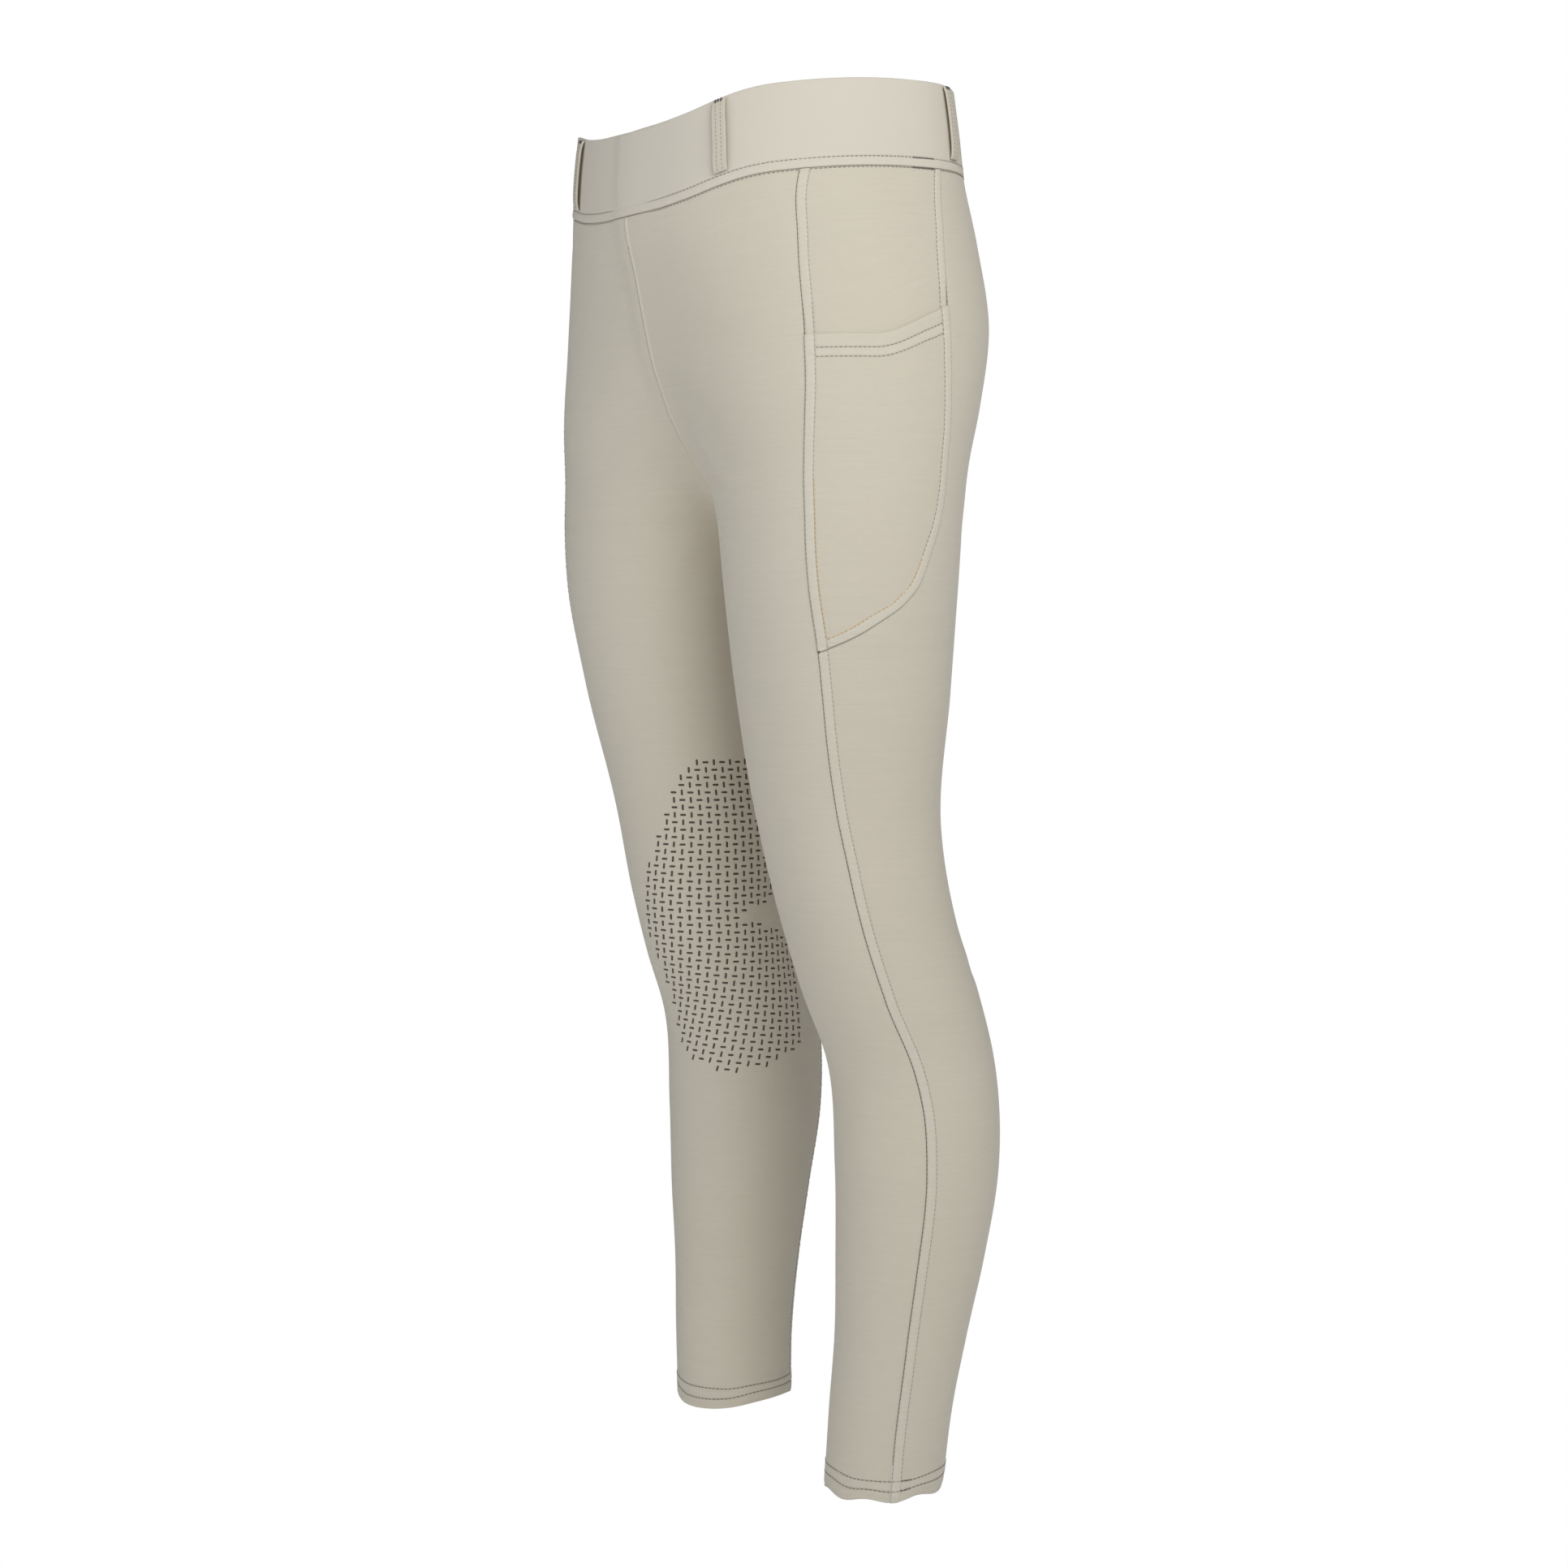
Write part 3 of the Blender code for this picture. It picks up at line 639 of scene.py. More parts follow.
class Surface:
    """Points, faces, cloth places and masks of one piece, gathered before its mesh is made."""

    def __init__(self):
        self.points, self.places, self.strips, self.grooves, self.faces = [], [], [], [], []
        self.count = 0

    def add_grid(self, points, places, strip=None, groove=None, wrap=False):
        """Adds a grid of points with its faces and returns the points' numbers."""
        rows, columns = points.shape[:2]
        numbers = self.add_points(points, places, strip, groove).reshape(rows, columns)
        across = np.append(np.arange(columns), 0) if wrap else np.arange(columns)
        ring = numbers[:, across]
        quads = np.stack([ring[:-1, :-1], ring[:-1, 1:], ring[1:, 1:], ring[1:, :-1]], -1)
        self.faces += quads.reshape(-1, 4).tolist()
        return numbers

    def add_points(self, points, places, strip=None, groove=None):
        total = int(np.prod(points.shape[:-1]))
        numbers = self.count + np.arange(total)
        self.points.append(points.reshape(-1, 3))
        self.places.append(places.reshape(-1, 2))
        self.strips.append(np.zeros(total) if strip is None else strip.reshape(-1))
        self.grooves.append(np.zeros(total) if groove is None else groove.reshape(-1))
        self.count += total
        return numbers

    def zip_edges(self, fine, coarse, every):
        """Closes the edge between a fine line of points and the coarse line behind it."""
        for j in range(len(coarse) - 1):
            first, last = every[j], every[j + 1]
            turn_over = (first + last) // 2
            for i in range(first, last):
                near = coarse[j] if i < turn_over else coarse[j + 1]
                self.faces.append([int(fine[i]), int(fine[i + 1]), int(near)])
            self.faces.append([int(fine[turn_over]), int(coarse[j + 1]), int(coarse[j])])

    def piece(self, name, material):
        """Makes the object, with its faces pointing out and its cloth places as a UV map."""
        mesh = bpy.data.meshes.new(name)
        mesh.from_pydata(np.concatenate(self.points).tolist(), [], self.faces)
        shell = bmesh.new()
        shell.from_mesh(mesh)
        bmesh.ops.recalc_face_normals(shell, faces=shell.faces)
        shell.to_mesh(mesh)
        shell.free()
        corner = np.zeros(len(mesh.loops), np.int32)
        mesh.loops.foreach_get("vertex_index", corner)
        layer = mesh.uv_layers.new(name="cloth")
        layer.data.foreach_set("uv", np.concatenate(self.places)[corner].astype(np.float32).ravel())
        # The strip mask holds a painted highlight on raised strips and crowns; the groove mask holds painted
        # shade in grooves and recesses.
        for mask, values in (("strip", self.strips), ("groove", self.grooves)):
            stored = mesh.attributes.new(mask, "FLOAT", "POINT")
            stored.data.foreach_set("value", np.concatenate(values).astype(np.float32))
        mesh.shade_smooth()
        mesh.materials.append(material)
        piece = bpy.data.objects.new(name, mesh)
        bpy.context.scene.collection.objects.link(piece)
        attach(piece, "root")
        return piece


def thinned(count, step):
    """Numbers from 0 to count - 1, by about that step, with the last one kept."""
    kept = list(range(0, count - 1, step))
    if len(kept) > 1 and count - 1 - kept[-1] < step // 2:
        kept.pop()
    return kept + [count - 1]


def dress(piece, node):
    """Hides the plain solid that the piece stands for."""
    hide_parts(node)
    return piece


def declare_sheet(piece, points, sizes, **facts):
    """Measures the piece's length across and up and its cells, and keeps none of them."""
    across = run_along(points, 1)[:, -1]
    up = run_along(points, 0)[-1]
    cells = np.cross(points[1:, :-1] - points[:-1, :-1], points[:-1, 1:] - points[:-1, :-1])


# Relief of seams, hems and puckers

def groove_at(distance, middle, width):
    return np.exp(-(((distance - middle) / width) ** 2))


def strip_relief(distance, along, seams, seed):
    """Height and masks of a lapped seam strip, by the distance in from its folded edge."""
    gauge = seams.gauge
    on_strip = smooth_step(-0.2 * MM, 0.5 * MM, distance)
    on_strip = on_strip * (1 - smooth_step(gauge - 0.3 * MM, gauge + 1.2 * MM, distance))
    # Painted shade along the two stitch grooves.
    stitched = 0.6 * groove_at(distance, gauge, 0.4 * MM) + 0.8 * groove_at(distance, 0.25 * MM, 0.4 * MM)
    along = along / seams.pucker_pitch
    pucker = wobble(along * 2 * np.pi, seed)
    swell = np.sin(np.pi * np.clip(distance / gauge, 0, 1))
    height = seams.strip_height * on_strip * (0.55 + 0.45 * swell)
    height = height + seams.pucker_height * pucker * on_strip * swell
    height = height - seams.groove_depth * groove_at(distance, gauge, 0.55 * MM)
    ripple = groove_at(distance, gauge + 2.6 * MM, 2.2 * MM) * wobble(along * 5.1, seed + 2)
    height = height + 0.35 * seams.pucker_height * ripple
    # The first mask is a painted highlight on the raised strip, stronger on its puckers; the second is
    # painted shade in the stitch grooves.
    return height, on_strip * (0.8 + 0.25 * pucker), np.clip(stitched, 0, 1)


def butt_relief(distance, along, seams, seed):
    """Height and masks where the cloth meets the folded edge of its neighbour."""
    near = np.exp(-distance / (0.8 * MM))
    ripple = groove_at(distance, 2.4 * MM, 2.0 * MM) * wobble(along / seams.pucker_pitch * 4.7, seed)
    # The groove mask here is painted shade against the neighbour's folded edge.
    return -seams.groove_depth * near + 0.4 * seams.pucker_height * ripple, 0 * near, 0.25 * near


def ridge_relief(distance, along, seams, seed):
    """Height and masks of the plain middle seam's rounded ridge."""
    width = seams.ridge_width
    swell = np.sin(np.pi * np.clip(distance / width, 0, 1)) * (distance < width)
    height = seams.ridge_height * swell - 0.5 * seams.groove_depth * groove_at(distance, width, 0.5 * MM)
    height = height - 0.6 * seams.groove_depth * np.exp(-distance / (0.4 * MM))
    # The strip mask is a painted highlight on the ridge's crown; the groove mask is painted shade along its
    # edge.
    return height, 0.9 * swell, 0.3 * groove_at(distance, width + 0.4 * MM, 0.5 * MM)


def blended(first, second, share):
    """Height and masks between two kinds of edge."""
    return [a * (1 - share) + b * share for a, b in zip(first, second)]


def added(relief, parts):
    """Height and masks with more height and masks on them."""
    return [total + part for total, part in zip(relief, parts)]


def edge_relief(kind, distance, along, rows, seams, seed):
    """Relief beside a panel's edge; kind names how it is made above and below a height."""
    makers = {"strip": strip_relief, "butt": butt_relief, "ridge": ridge_relief}
    above, below, change = kind
    upper = makers[above](distance, along, seams, seed)
    if above == below:
        return upper
    lower = makers[below](distance, along, seams, seed)
    return blended(lower, upper, smooth_step(change - KIND_CHANGE, change + KIND_CHANGE, rows))


def centre_crest(distance, rows, side, seams):
    """The soft crest beside the centre front, a little to the wearer's right of the seam."""
    aside = side * distance + seams.crest_aside
    width = seams.crest_width * np.where(aside < 0, 1.0, CREST_FAR_SIDE)
    fade = smooth_step(*CREST_FADE, rows)
    return seams.crest_height * fade * np.exp(-((aside / width) ** 2))


def hem_rise(turn, side):
    """How far the hem's stitch rows climb away from the turn where they hang lowest."""
    away = np.abs(wrapped(turn - HEM_LOW_TURN[side]))
    return (HEM_CLIMB * smooth_step(*HEM_CLIMB_TURNS, away) - HEM_SAG[side]) * MM


def hem_relief(rows, turns, side, seams, covered):
    """The turned-up hem: two grooves under the stitch rows and a soft rolled edge."""
    rows = rows - hem_rise(turns, side)
    pucker = wobble(turns * 0.9, 1.0)
    height = seams.hem_height * (1 - smooth_step(seams.hem_upper, seams.hem_upper + 2 * MM, rows))
    for row in (seams.hem_lower, seams.hem_upper):
        height = height - seams.groove_depth * groove_at(rows, row, 0.6 * MM)
    between = groove_at(rows, (seams.hem_lower + seams.hem_upper) / 2, 2.2 * MM)
    height = height + seams.pucker_height * 0.8 * pucker * between
    flare = 1 - smooth_step(0, seams.hem_lower, rows)
    height = height + 0.5 * MM * flare * wobble(turns * 0.11, 3.0)
    height = height - 0.5 * MM * (1 - smooth_step(0, 1.2 * MM, rows))
    # Painted shade along the two stitch grooves, and a painted highlight on the puffed cloth between the
    # rows.
    stitched = groove_at(rows, seams.hem_lower, 0.5 * MM) + groove_at(rows, seams.hem_upper, 0.5 * MM)
    return height, 0.45 * between, np.clip(stitched, 0, 1)


def waist_relief(rows, turns, side, seams, covered):
    """The panel's top edge, drawn in under the band's lower stitch row."""
    near = np.exp((rows - WAIST_SEAM) / (1.1 * MM))
    ripple = groove_at(rows, WAIST_SEAM - 3.0 * MM, 2.4 * MM) * wobble(turns * 0.75, 5.0)
    # The groove mask here is painted shade where the panel tucks under the band.
    return -0.5 * seams.groove_depth * near + 0.4 * seams.pucker_height * ripple, 0 * near, 0.3 * near


def mouth_relief(rows, turns, side, seams, covered):
    """The pocket's turned-over mouth: two grooves under the stitch rows and a rolled top edge."""
    upper, lower = MOUTH - seams.mouth_upper, MOUTH - seams.mouth_lower
    height = seams.hem_height * smooth_step(lower - 1.5 * MM, lower, rows)
    height = height - 0.4 * MM * smooth_step(MOUTH - 0.9 * MM, MOUTH, rows)
    for row in (upper, lower):
        height = height - 0.8 * seams.groove_depth * groove_at(rows, row, 0.6 * MM)
    between = groove_at(rows, (upper + lower) / 2, 2.2 * MM)
    height = height + 0.6 * seams.pucker_height * wobble(turns * 2.4, 2.0) * between
    # The strip mask is a painted highlight between the rows and on the rolled top edge; the groove mask is
    # painted shade in the stitch grooves.
    lit = smooth_step(MOUTH - 1.6 * MM, MOUTH - 0.4 * MM, rows)
    stitched = groove_at(rows, lower, 0.5 * MM) + groove_at(rows, upper, 0.5 * MM)
    strip = 0.9 * between + 0.3 * smooth_step(upper, upper + MM, rows) + 0.5 * lit
    bare = 1 - covered
    return height * bare, strip * bare, np.clip(stitched, 0, 1) * bare


def band_relief(rows, turns, side, seams):
    """The band's stitched strip along the waist seam, and the seam strips that run up under its row."""
    seam_row = WAIST_SEAM + seams.band_row
    on_strip = 1 - smooth_step(seam_row - 0.4 * MM, seam_row + 0.8 * MM, rows)
    pucker = wobble(turns * 1.5, side)
    swell = np.sin(np.pi * np.clip((rows - WAIST_SEAM) / seams.band_row, 0, 1))
    height = 0.8 * seams.strip_height * on_strip * (0.5 + 0.5 * swell) - 0.3 * MM * on_strip
    height = height + seams.pucker_height * pucker * on_strip * swell
    height = height - seams.groove_depth * groove_at(rows, seam_row, 0.6 * MM)
    # Painted shade in the stitch groove and at the band's foot, and a painted highlight on the raised strip.
    groove = groove_at(rows, seam_row, 0.4 * MM) + 0.3 * np.exp(-(rows - WAIST_SEAM) / (0.7 * MM))
    strip = 0.7 * on_strip
    degree = 2.3 * MM
    crossings = [(float(side_seam(WAIST_SEAM)), -1)]
    if side == LEFT:
        crossings.append((float(pocket_seam(WAIST_SEAM)), 1))
    for turn, inward in crossings:
        inside = (turns - turn) * inward * degree
        lap = smooth_step(0, 0.6 * MM, inside) * (1 - smooth_step(seams.gauge, seams.gauge + MM, inside))
        height = height + 0.5 * seams.strip_height * lap * on_strip
        # A painted highlight where a seam strip laps under the band's row.
        strip = strip + 0.5 * lap * on_strip
    return height, np.clip(strip, 0, 1), np.clip(groove, 0, 1)


def leg_rows(low, high, fine=()):
    """Rows of points from low to high, closer together where the stitching needs it."""
    rows = np.linspace(low, high, int(round((high - low) / ROW_STEP)) + 1)
    extra = [np.arange(start, end, 0.45 * MM) for start, end in fine]
    rows = np.unique(np.round(np.concatenate([rows, *extra]), 6))
    keep = np.concatenate([[True], np.diff(rows) > 0.2 * MM])
    rows = rows[keep]
    rows[-1] = high
    return rows


def panel_turns(start, end, rows, side, columns):
    """Turns along each row: close together beside both seams, and evenly spaced between them."""
    first, last = start(rows), end(rows)
    share = np.linspace(0, 1, 161)
    fine = first[:, None] + (last - first)[:, None] * (0.5 - 0.5 * np.cos(np.pi * share))
    run = run_along(surface_points(fine, rows[:, None], side), 1)
    length = run[:, -1]
    edges = np.array(EDGE_STEPS) * MM
    toward = float(np.sign(np.mean(last - first)))
    slants = [seam_slant(seam, rows, side, way) for seam, way in ((start, toward), (end, -toward))]
    slants = [np.where((rows > CROTCH) & (seam in (front_edge, back_edge)), 1.0, slant)
              for seam, slant in zip((start, end), slants)]
    gaps = [np.minimum(SEAM_GAP / 2 / slant, 0.1 * length) for slant in slants]
    wide = np.minimum(1.0, 0.4 * length / edges[-1])
    near = gaps[0][:, None] + edges * wide[:, None]
    far = (length - gaps[1])[:, None] - edges[::-1] * wide[:, None]
    middle = np.linspace(0, 1, columns + 1)[1:-1]
    between = near[:, -1:] + (far[:, :1] - near[:, -1:]) * middle
    runs = np.concatenate([near, between, far], 1)
    turns = np.stack([np.interp(runs[i], run[i], fine[i]) for i in range(len(rows))])
    from_start = (runs - gaps[0][:, None]) * slants[0][:, None]
    from_end = ((length - gaps[1])[:, None] - runs) * slants[1][:, None]
    return turns, runs, from_start, from_end


def seam_slant(seam, rows, side, toward, step=0.5 * MM):
    """The sine of the angle between a seam and the rows that it crosses."""
    above, below = rows + step, rows - step
    along = surface_points(seam(above), above, side) - surface_points(seam(below), below, side)
    across = surface_points(seam(rows) + toward, rows, side) - surface_points(seam(rows), rows, side)
    sine = np.linalg.norm(np.cross(along, across), axis=-1)
    return np.maximum(sine / np.linalg.norm(along, axis=-1) / np.linalg.norm(across, axis=-1), LEAST_SLANT)


def panel_shell(node, start, end, rows, side, columns, kinds, base=0.0, wall=None, top=waist_relief,
                bottom=None, seed=0.0, rests_on="waistband"):
    """A panel of cloth between two seams: a fine outer face with its relief, and a plainer inner face."""
    cloth, seams, _, finish = settings()
    wall = wall or cloth.wall
    turns, runs, from_start, from_end = panel_turns(start, end, rows, side, columns)
    grid = np.repeat(rows[:, None], turns.shape[1], axis=1)
    relief = [np.zeros_like(grid) for _ in range(3)]
    covered = relief[1]
    for kind, distance, seam, shift in ((kinds[0], from_start, start, 0.0), (kinds[1], from_end, end, 3.3)):
        along = run_along(surface_points(seam(rows), rows, side), 0)[:, None]
        parts = edge_relief(kind, distance, along, grid, seams, seed + shift)
        relief = added(relief, [part * (1 - covered) for part in parts])
        covered = np.clip(relief[1] / STRIP_COVERS, 0, 1)
    for maker in filter(None, (top, bottom)):
        relief = added(relief, maker(grid, turns, side, seams, covered))
    height, strip, groove = relief
    if start is front_edge:
        height = height + centre_crest(from_start, grid, side, seams)
    crease = crease_depth(turns, grid, side)
    base = base + np.zeros_like(grid)
    outer = cloth_points(turns, grid, side, base + height + crease)
    places = np.stack([runs + seed, grid], -1)
    surface = Surface()
    # The strip mask is a painted highlight and the groove mask painted shade.
    front = surface.add_grid(outer, places, np.clip(strip, 0, 1), np.clip(groove, 0, 1))
    kept_rows, kept_columns = thinned(len(rows), INNER_STEP), thinned(turns.shape[1], 3)
    pick = np.ix_(kept_rows, kept_columns)
    inner = cloth_points(turns[pick], grid[pick], side, base[pick] + crease[pick] - wall)
    back = surface.add_grid(inner, places[pick])
    surface.zip_edges(front[0], back[0], kept_columns)
    surface.zip_edges(front[-1], back[-1], kept_columns)
    surface.zip_edges(front[:, 0], back[:, 0], kept_rows)
    surface.zip_edges(front[:, -1], back[:, -1], kept_rows)
    piece = dress(surface.piece(f"cloth_{node}", knit(finish)), node)
    declare_sheet(piece, outer, cloth, rests_on=[rests_on])


def band_turns(side, columns=150):
    """Turns along half the waist, from the centre front to the centre back, evenly spaced."""
    first, last = float(front_edge(WAIST_SEAM)), float(back_edge(WAIST_SEAM))
    fine = first + (last - first) * np.linspace(0, 1, 721)
    run = run_along(surface_points(fine, WAIST_SEAM, side), 0)
    turns = np.interp(np.linspace(0, run[-1], columns + 1), run, fine)
    return turns, run[-1]


def band_profile(cloth, seams):
    """The folded band's section, up the outside, over the fold and down inside: its rows and how far out."""
    round_end = 0.5 * MM
    half = cloth.band_wall / 2
    low, high = WAIST_SEAM + SEAM_GAP / 2 + round_end, BAND_TOP - half
    by_stitches = seams.band_row + WAIST_SEAM + np.arange(-2, 2.1, 0.5) * MM
    by_seam = low + np.array([0.5, 1.1, 1.9, 2.9]) * MM
    outside = np.unique(np.round(np.concatenate([np.linspace(low, high, 34), by_stitches, by_seam]), 6))
    fold = np.linspace(0, np.pi, 11)[1:-1]
    inside = np.linspace(high, low, 16)
    hem = np.linspace(np.pi, 2 * np.pi, 7)[1:-1]
    rows = np.concatenate([outside, high + half * np.sin(fold), inside, low + round_end * np.sin(hem)])
    middle = BAND_PROUD - half
    out = np.concatenate([np.full(len(outside), BAND_PROUD), middle + half * np.cos(fold),
                          np.full(len(inside), BAND_PROUD - cloth.band_wall), middle + half * np.cos(hem)])
    return rows, out, len(outside)


def loop_path(loop, across, along, out):
    """Points over the band beside a belt loop's middle line; across and along run from -1 to 1."""
    middle = surface_points(loop.turn, WAIST_SEAM, loop.side)
    degree = np.linalg.norm(surface_points(loop.turn + 1, WAIST_SEAM, loop.side) - middle)
    turns = loop.turn + (across * LOOP_WIDTH / 2 + along * LOOP_LEAN / 2) / degree
    share = LOOP_FOOT + (LOOP_HEAD - LOOP_FOOT) * 0.5 * (1 + along)
    rows = WAIST_SEAM + SEAM_GAP / 2 + share * (BAND_TOP - WAIST_SEAM)
    arch = 1 - np.abs(along) ** LOOP_SQUARENESS
    return placed(turns, rows, loop.side, BAND_PROUD + SEAM_GAP + LOOP_STAND_OFF * arch + out)


# Stitches

def stitch_template(sides=5):
    """One stitch of thread along X, thick in the middle and tucked in at both ends."""
    stations = np.array([(-1.0, 0.35), (-0.62, 0.9), (0.0, 1.0), (0.62, 0.9), (1.0, 0.35)])
    angles = np.linspace(0, 2 * np.pi, sides, endpoint=False)
    points, faces = [], []
    for along, thick in stations:
        arch = 1.0 - along**2
        points += [(along, np.cos(a) * thick, np.sin(a) * thick + arch) for a in angles]
    for r in range(len(stations) - 1):
        for c in range(sides):
            d = (c + 1) % sides
            faces.append([r * sides + c, r * sides + d, (r + 1) * sides + d, (r + 1) * sides + c])
    faces += [list(range(sides)), [(len(stations) - 1) * sides + c for c in range(sides)]]
    return np.array(points), faces


def read_line(at, run, values):
    """The values of a line's points at distances along it."""
    return np.stack([np.interp(at, run, values[:, k]) for k in range(3)], -1)


def sew(surface, points, normals, sizes, length, thickness=1.0, sunk=0.35):
    """Lays stitches of about that length along a line of points on the cloth."""
    run = run_along(points, 0)
    count = max(1, int(round(run[-1] / length)))
    pitch = run[-1] / count
    starts = np.arange(count) * pitch
    template, faces = stitch_template()
    radius = sizes.thread_width / 2 * thickness
    a, b = (read_line(starts + share * pitch, run, points) for share in STITCH_ENDS)
    up = read_line(starts + 0.5 * pitch, run, normals)
    up = up / np.linalg.norm(up, axis=-1, keepdims=True)
    ahead = (b - a) / 2
    half = np.linalg.norm(ahead, axis=-1, keepdims=True)
    aside = np.cross(up, ahead / half)
    middle = (a + b) / 2 - up * radius * sunk
    shape = (middle[:, None] + template[None, :, :1] * ahead[:, None]
             + template[None, :, 1:2] * radius * aside[:, None]
             + template[None, :, 2:3] * radius * 0.8 * up[:, None])
    places = np.stack([starts[:, None] + template[None, :, 0] * half, template[None, :, 1] * radius
                       + np.zeros((count, 1))], -1)
    numbers = surface.add_points(shape, places).reshape(count, -1)
    for line in numbers:
        surface.faces += [[int(line[i]) for i in face] for face in faces]


def beside(seam, rows, side, offset):
    """Turns of a line at a distance beside a seam; a positive one is towards higher turns."""
    turns = seam(rows)
    across = surface_points(turns + 0.5, rows, side) - surface_points(turns - 0.5, rows, side)
    degree = np.linalg.norm(across, axis=-1)
    return turns + offset / degree / seam_slant(seam, rows, side, np.sign(offset))


def sew_line(surface, turns, rows, side, out, sizes, length_share=1.0, thickness=1.0):
    """Stitches along turns and rows of the cloth."""
    turns, rows = np.broadcast_arrays(np.asarray(turns, float), np.asarray(rows, float))
    points, normals = placed(turns, rows, side, out + crease_depth(turns, rows, side))
    sew(surface, points, normals, sizes, sizes.stitch * length_share, thickness)


# The knee print

def read_band(column, height):
    """One column of the print's table at heights in mm."""
    return read_table(PRINT_BANDS, column, "height", height, tight=False)


def print_place(i, j, sizes, side):
    """A place of the pattern, by column and row, as distance from the inseam and height on the leg."""
    height = PRINT_TOP / MM - j * sizes.row_step / MM
    across = read_band("growth", height) * i**2 - read_band("spacing", height) * i
    run = read_band("middle", height) + across
    turned = PRINT_TURNED_IN if side == LEFT else 0.0
    return run * MM - turned, (height + across * read_band("tilt", height)) * MM


def printed(i, j):
    """Whether a dash belongs to the print: inside its outline and outside the wedge."""
    rows = [edge.row for edge in PRINT_EDGES]
    first = np.interp(j, rows, [edge.first for edge in PRINT_EDGES])
    last = np.interp(j, rows, [edge.last for edge in PRINT_EDGES])
    in_wedge = (i > WEDGE_START) & (np.abs(j - WEDGE_ROW) < WEDGE_OPENING * (i - WEDGE_TIP))
    return (i > first) & (i < last) & ~in_wedge


class KneeCloth:
    """The cloth round the knee, read by the distance from the inseam toward the front and by the height."""
    STEP = 1 * MM
    LOW, HIGH = 236 * MM, 480 * MM
    BACK, FRONT = -64 * MM, 172 * MM

    def __init__(self, side):
        self.side = side
        heights = np.arange(self.LOW, self.HIGH, self.STEP)[:, None]
        past_seam = np.arange(100, -220, -0.5)
        fine = seam_turn(INSEAM, heights) + past_seam
        run = run_along(surface_points(fine, heights, side), 1)
        run = run - run[:, [int(np.argmin(np.abs(past_seam)))]]
        across = np.arange(self.BACK, self.FRONT, self.STEP)
        turns = np.stack([np.interp(across, run[i], fine[i]) for i in range(len(run))])
        self.values = np.concatenate(placed(turns, heights, side, crease_depth(turns, heights, side)), -1)

    def points(self, run, height, out):
        """Points of the cloth, moved out from it."""
        column = np.clip((run - self.BACK) / self.STEP, 0, self.values.shape[1] - 1.001)
        row = np.clip((height - self.LOW) / self.STEP, 0, self.values.shape[0] - 1.001)
        i, j = row.astype(int), column.astype(int)
        p, q = (row - i)[..., None], (column - j)[..., None]
        low = self.values[i, j] * (1 - q) + self.values[i, j + 1] * q
        high = self.values[i + 1, j] * (1 - q) + self.values[i + 1, j + 1] * q
        found = low * (1 - p) + high * p
        return found[..., :3] + found[..., 3:] * out


# Sizes and colours that a user may change

def length_property(name, description, default):
    return FloatProperty(name=name, description=description, default=default, min=0.0, unit="LENGTH",
                         subtype="DISTANCE", precision=5)


def colour_property(name, description, default):
    return FloatVectorProperty(name=name, description=description, default=default, size=3, min=0.0, max=1.0,
                               subtype="COLOR")


def number_property(name, description, default, subtype="NONE"):
    return FloatProperty(name=name, description=description, default=default, subtype=subtype)


def share_property(name, description, default):
    return FloatProperty(name=name, description=description, default=default, min=0.0, subtype="FACTOR")


class ClothSizes(bpy.types.PropertyGroup):
    """Thickness and stretch of the cloth."""
    wall: length_property("Wall", "Thickness of the leg cloth", 1.3 * MM)
    band_wall: length_property("Band wall", "Thickness of the folded waistband", 2.4 * MM)
    stretch_round: number_property("Stretch round", "Worn width over cut width", 1.08)
    stretch_along: number_property("Stretch along", "Worn length over cut length", 1.02)


class SeamSizes(bpy.types.PropertyGroup):
    """Sizes of the seams, the hems and their stitches."""
    gauge: length_property("Needle gauge", "Distance between the two rows of a seam", 6.3 * MM)
    strip_height: length_property("Strip height", "How far the lapped strip stands up", 0.5 * MM)
    groove_depth: length_property("Groove depth", "How deep the stitches draw the cloth in", 0.35 * MM)
    pucker_height: length_property("Pucker height", "Height of the puckers between the rows", 0.26 * MM)
    pucker_pitch: length_property("Pucker pitch", "Usual distance between puckers", 4.4 * MM)
    ridge_width: length_property("Ridge width", "Width of the middle seam's ridge", 3.2 * MM)
    ridge_height: length_property("Ridge height", "Height of the middle seam's ridge", 0.6 * MM)
    hem_lower: length_property("Lower hem row", "Height of the hem's lower stitch row", 7.6 * MM)
    hem_upper: length_property("Upper hem row", "Height of the hem's upper stitch row", 13.9 * MM)
    hem_height: length_property("Hem height", "How far the turned-up hem stands out", 0.35 * MM)
    mouth_upper: length_property("Upper mouth row", "Depth of the mouth's upper stitch row", 8.5 * MM)
    mouth_lower: length_property("Lower mouth row", "Depth of the mouth's lower stitch row", 14.3 * MM)
    band_row: length_property("Band row", "Height of the band's stitch row above the waist seam", 5.8 * MM)
    crest_height: length_property("Crest height", "Height of the soft crest at the centre front", 1.5 * MM)
    crest_width: length_property("Crest width", "Half the width of the crest's steeper side", 9.0 * MM)
    crest_aside: length_property("Crest aside", "How far the crest lies to the wearer's right", 4.0 * MM)
    stitch: length_property("Stitch", "Length of one stitch", 2.9 * MM)
    thread_width: length_property("Thread width", "Thickness of the sewing thread", 0.42 * MM)


class PrintSizes(bpy.types.PropertyGroup):
    """Sizes of the knee grip print."""
    row_step: length_property("Row step", "Distance between rows of dashes", 5.27 * MM)
    dash_length: length_property("Dash length", "Length of one dash", 4.2 * MM)
    dash_width: length_property("Dash width", "Width of one dash", 1.4 * MM)
    dash_height: length_property("Dash height", "How far a dash stands on the cloth", 0.3 * MM)


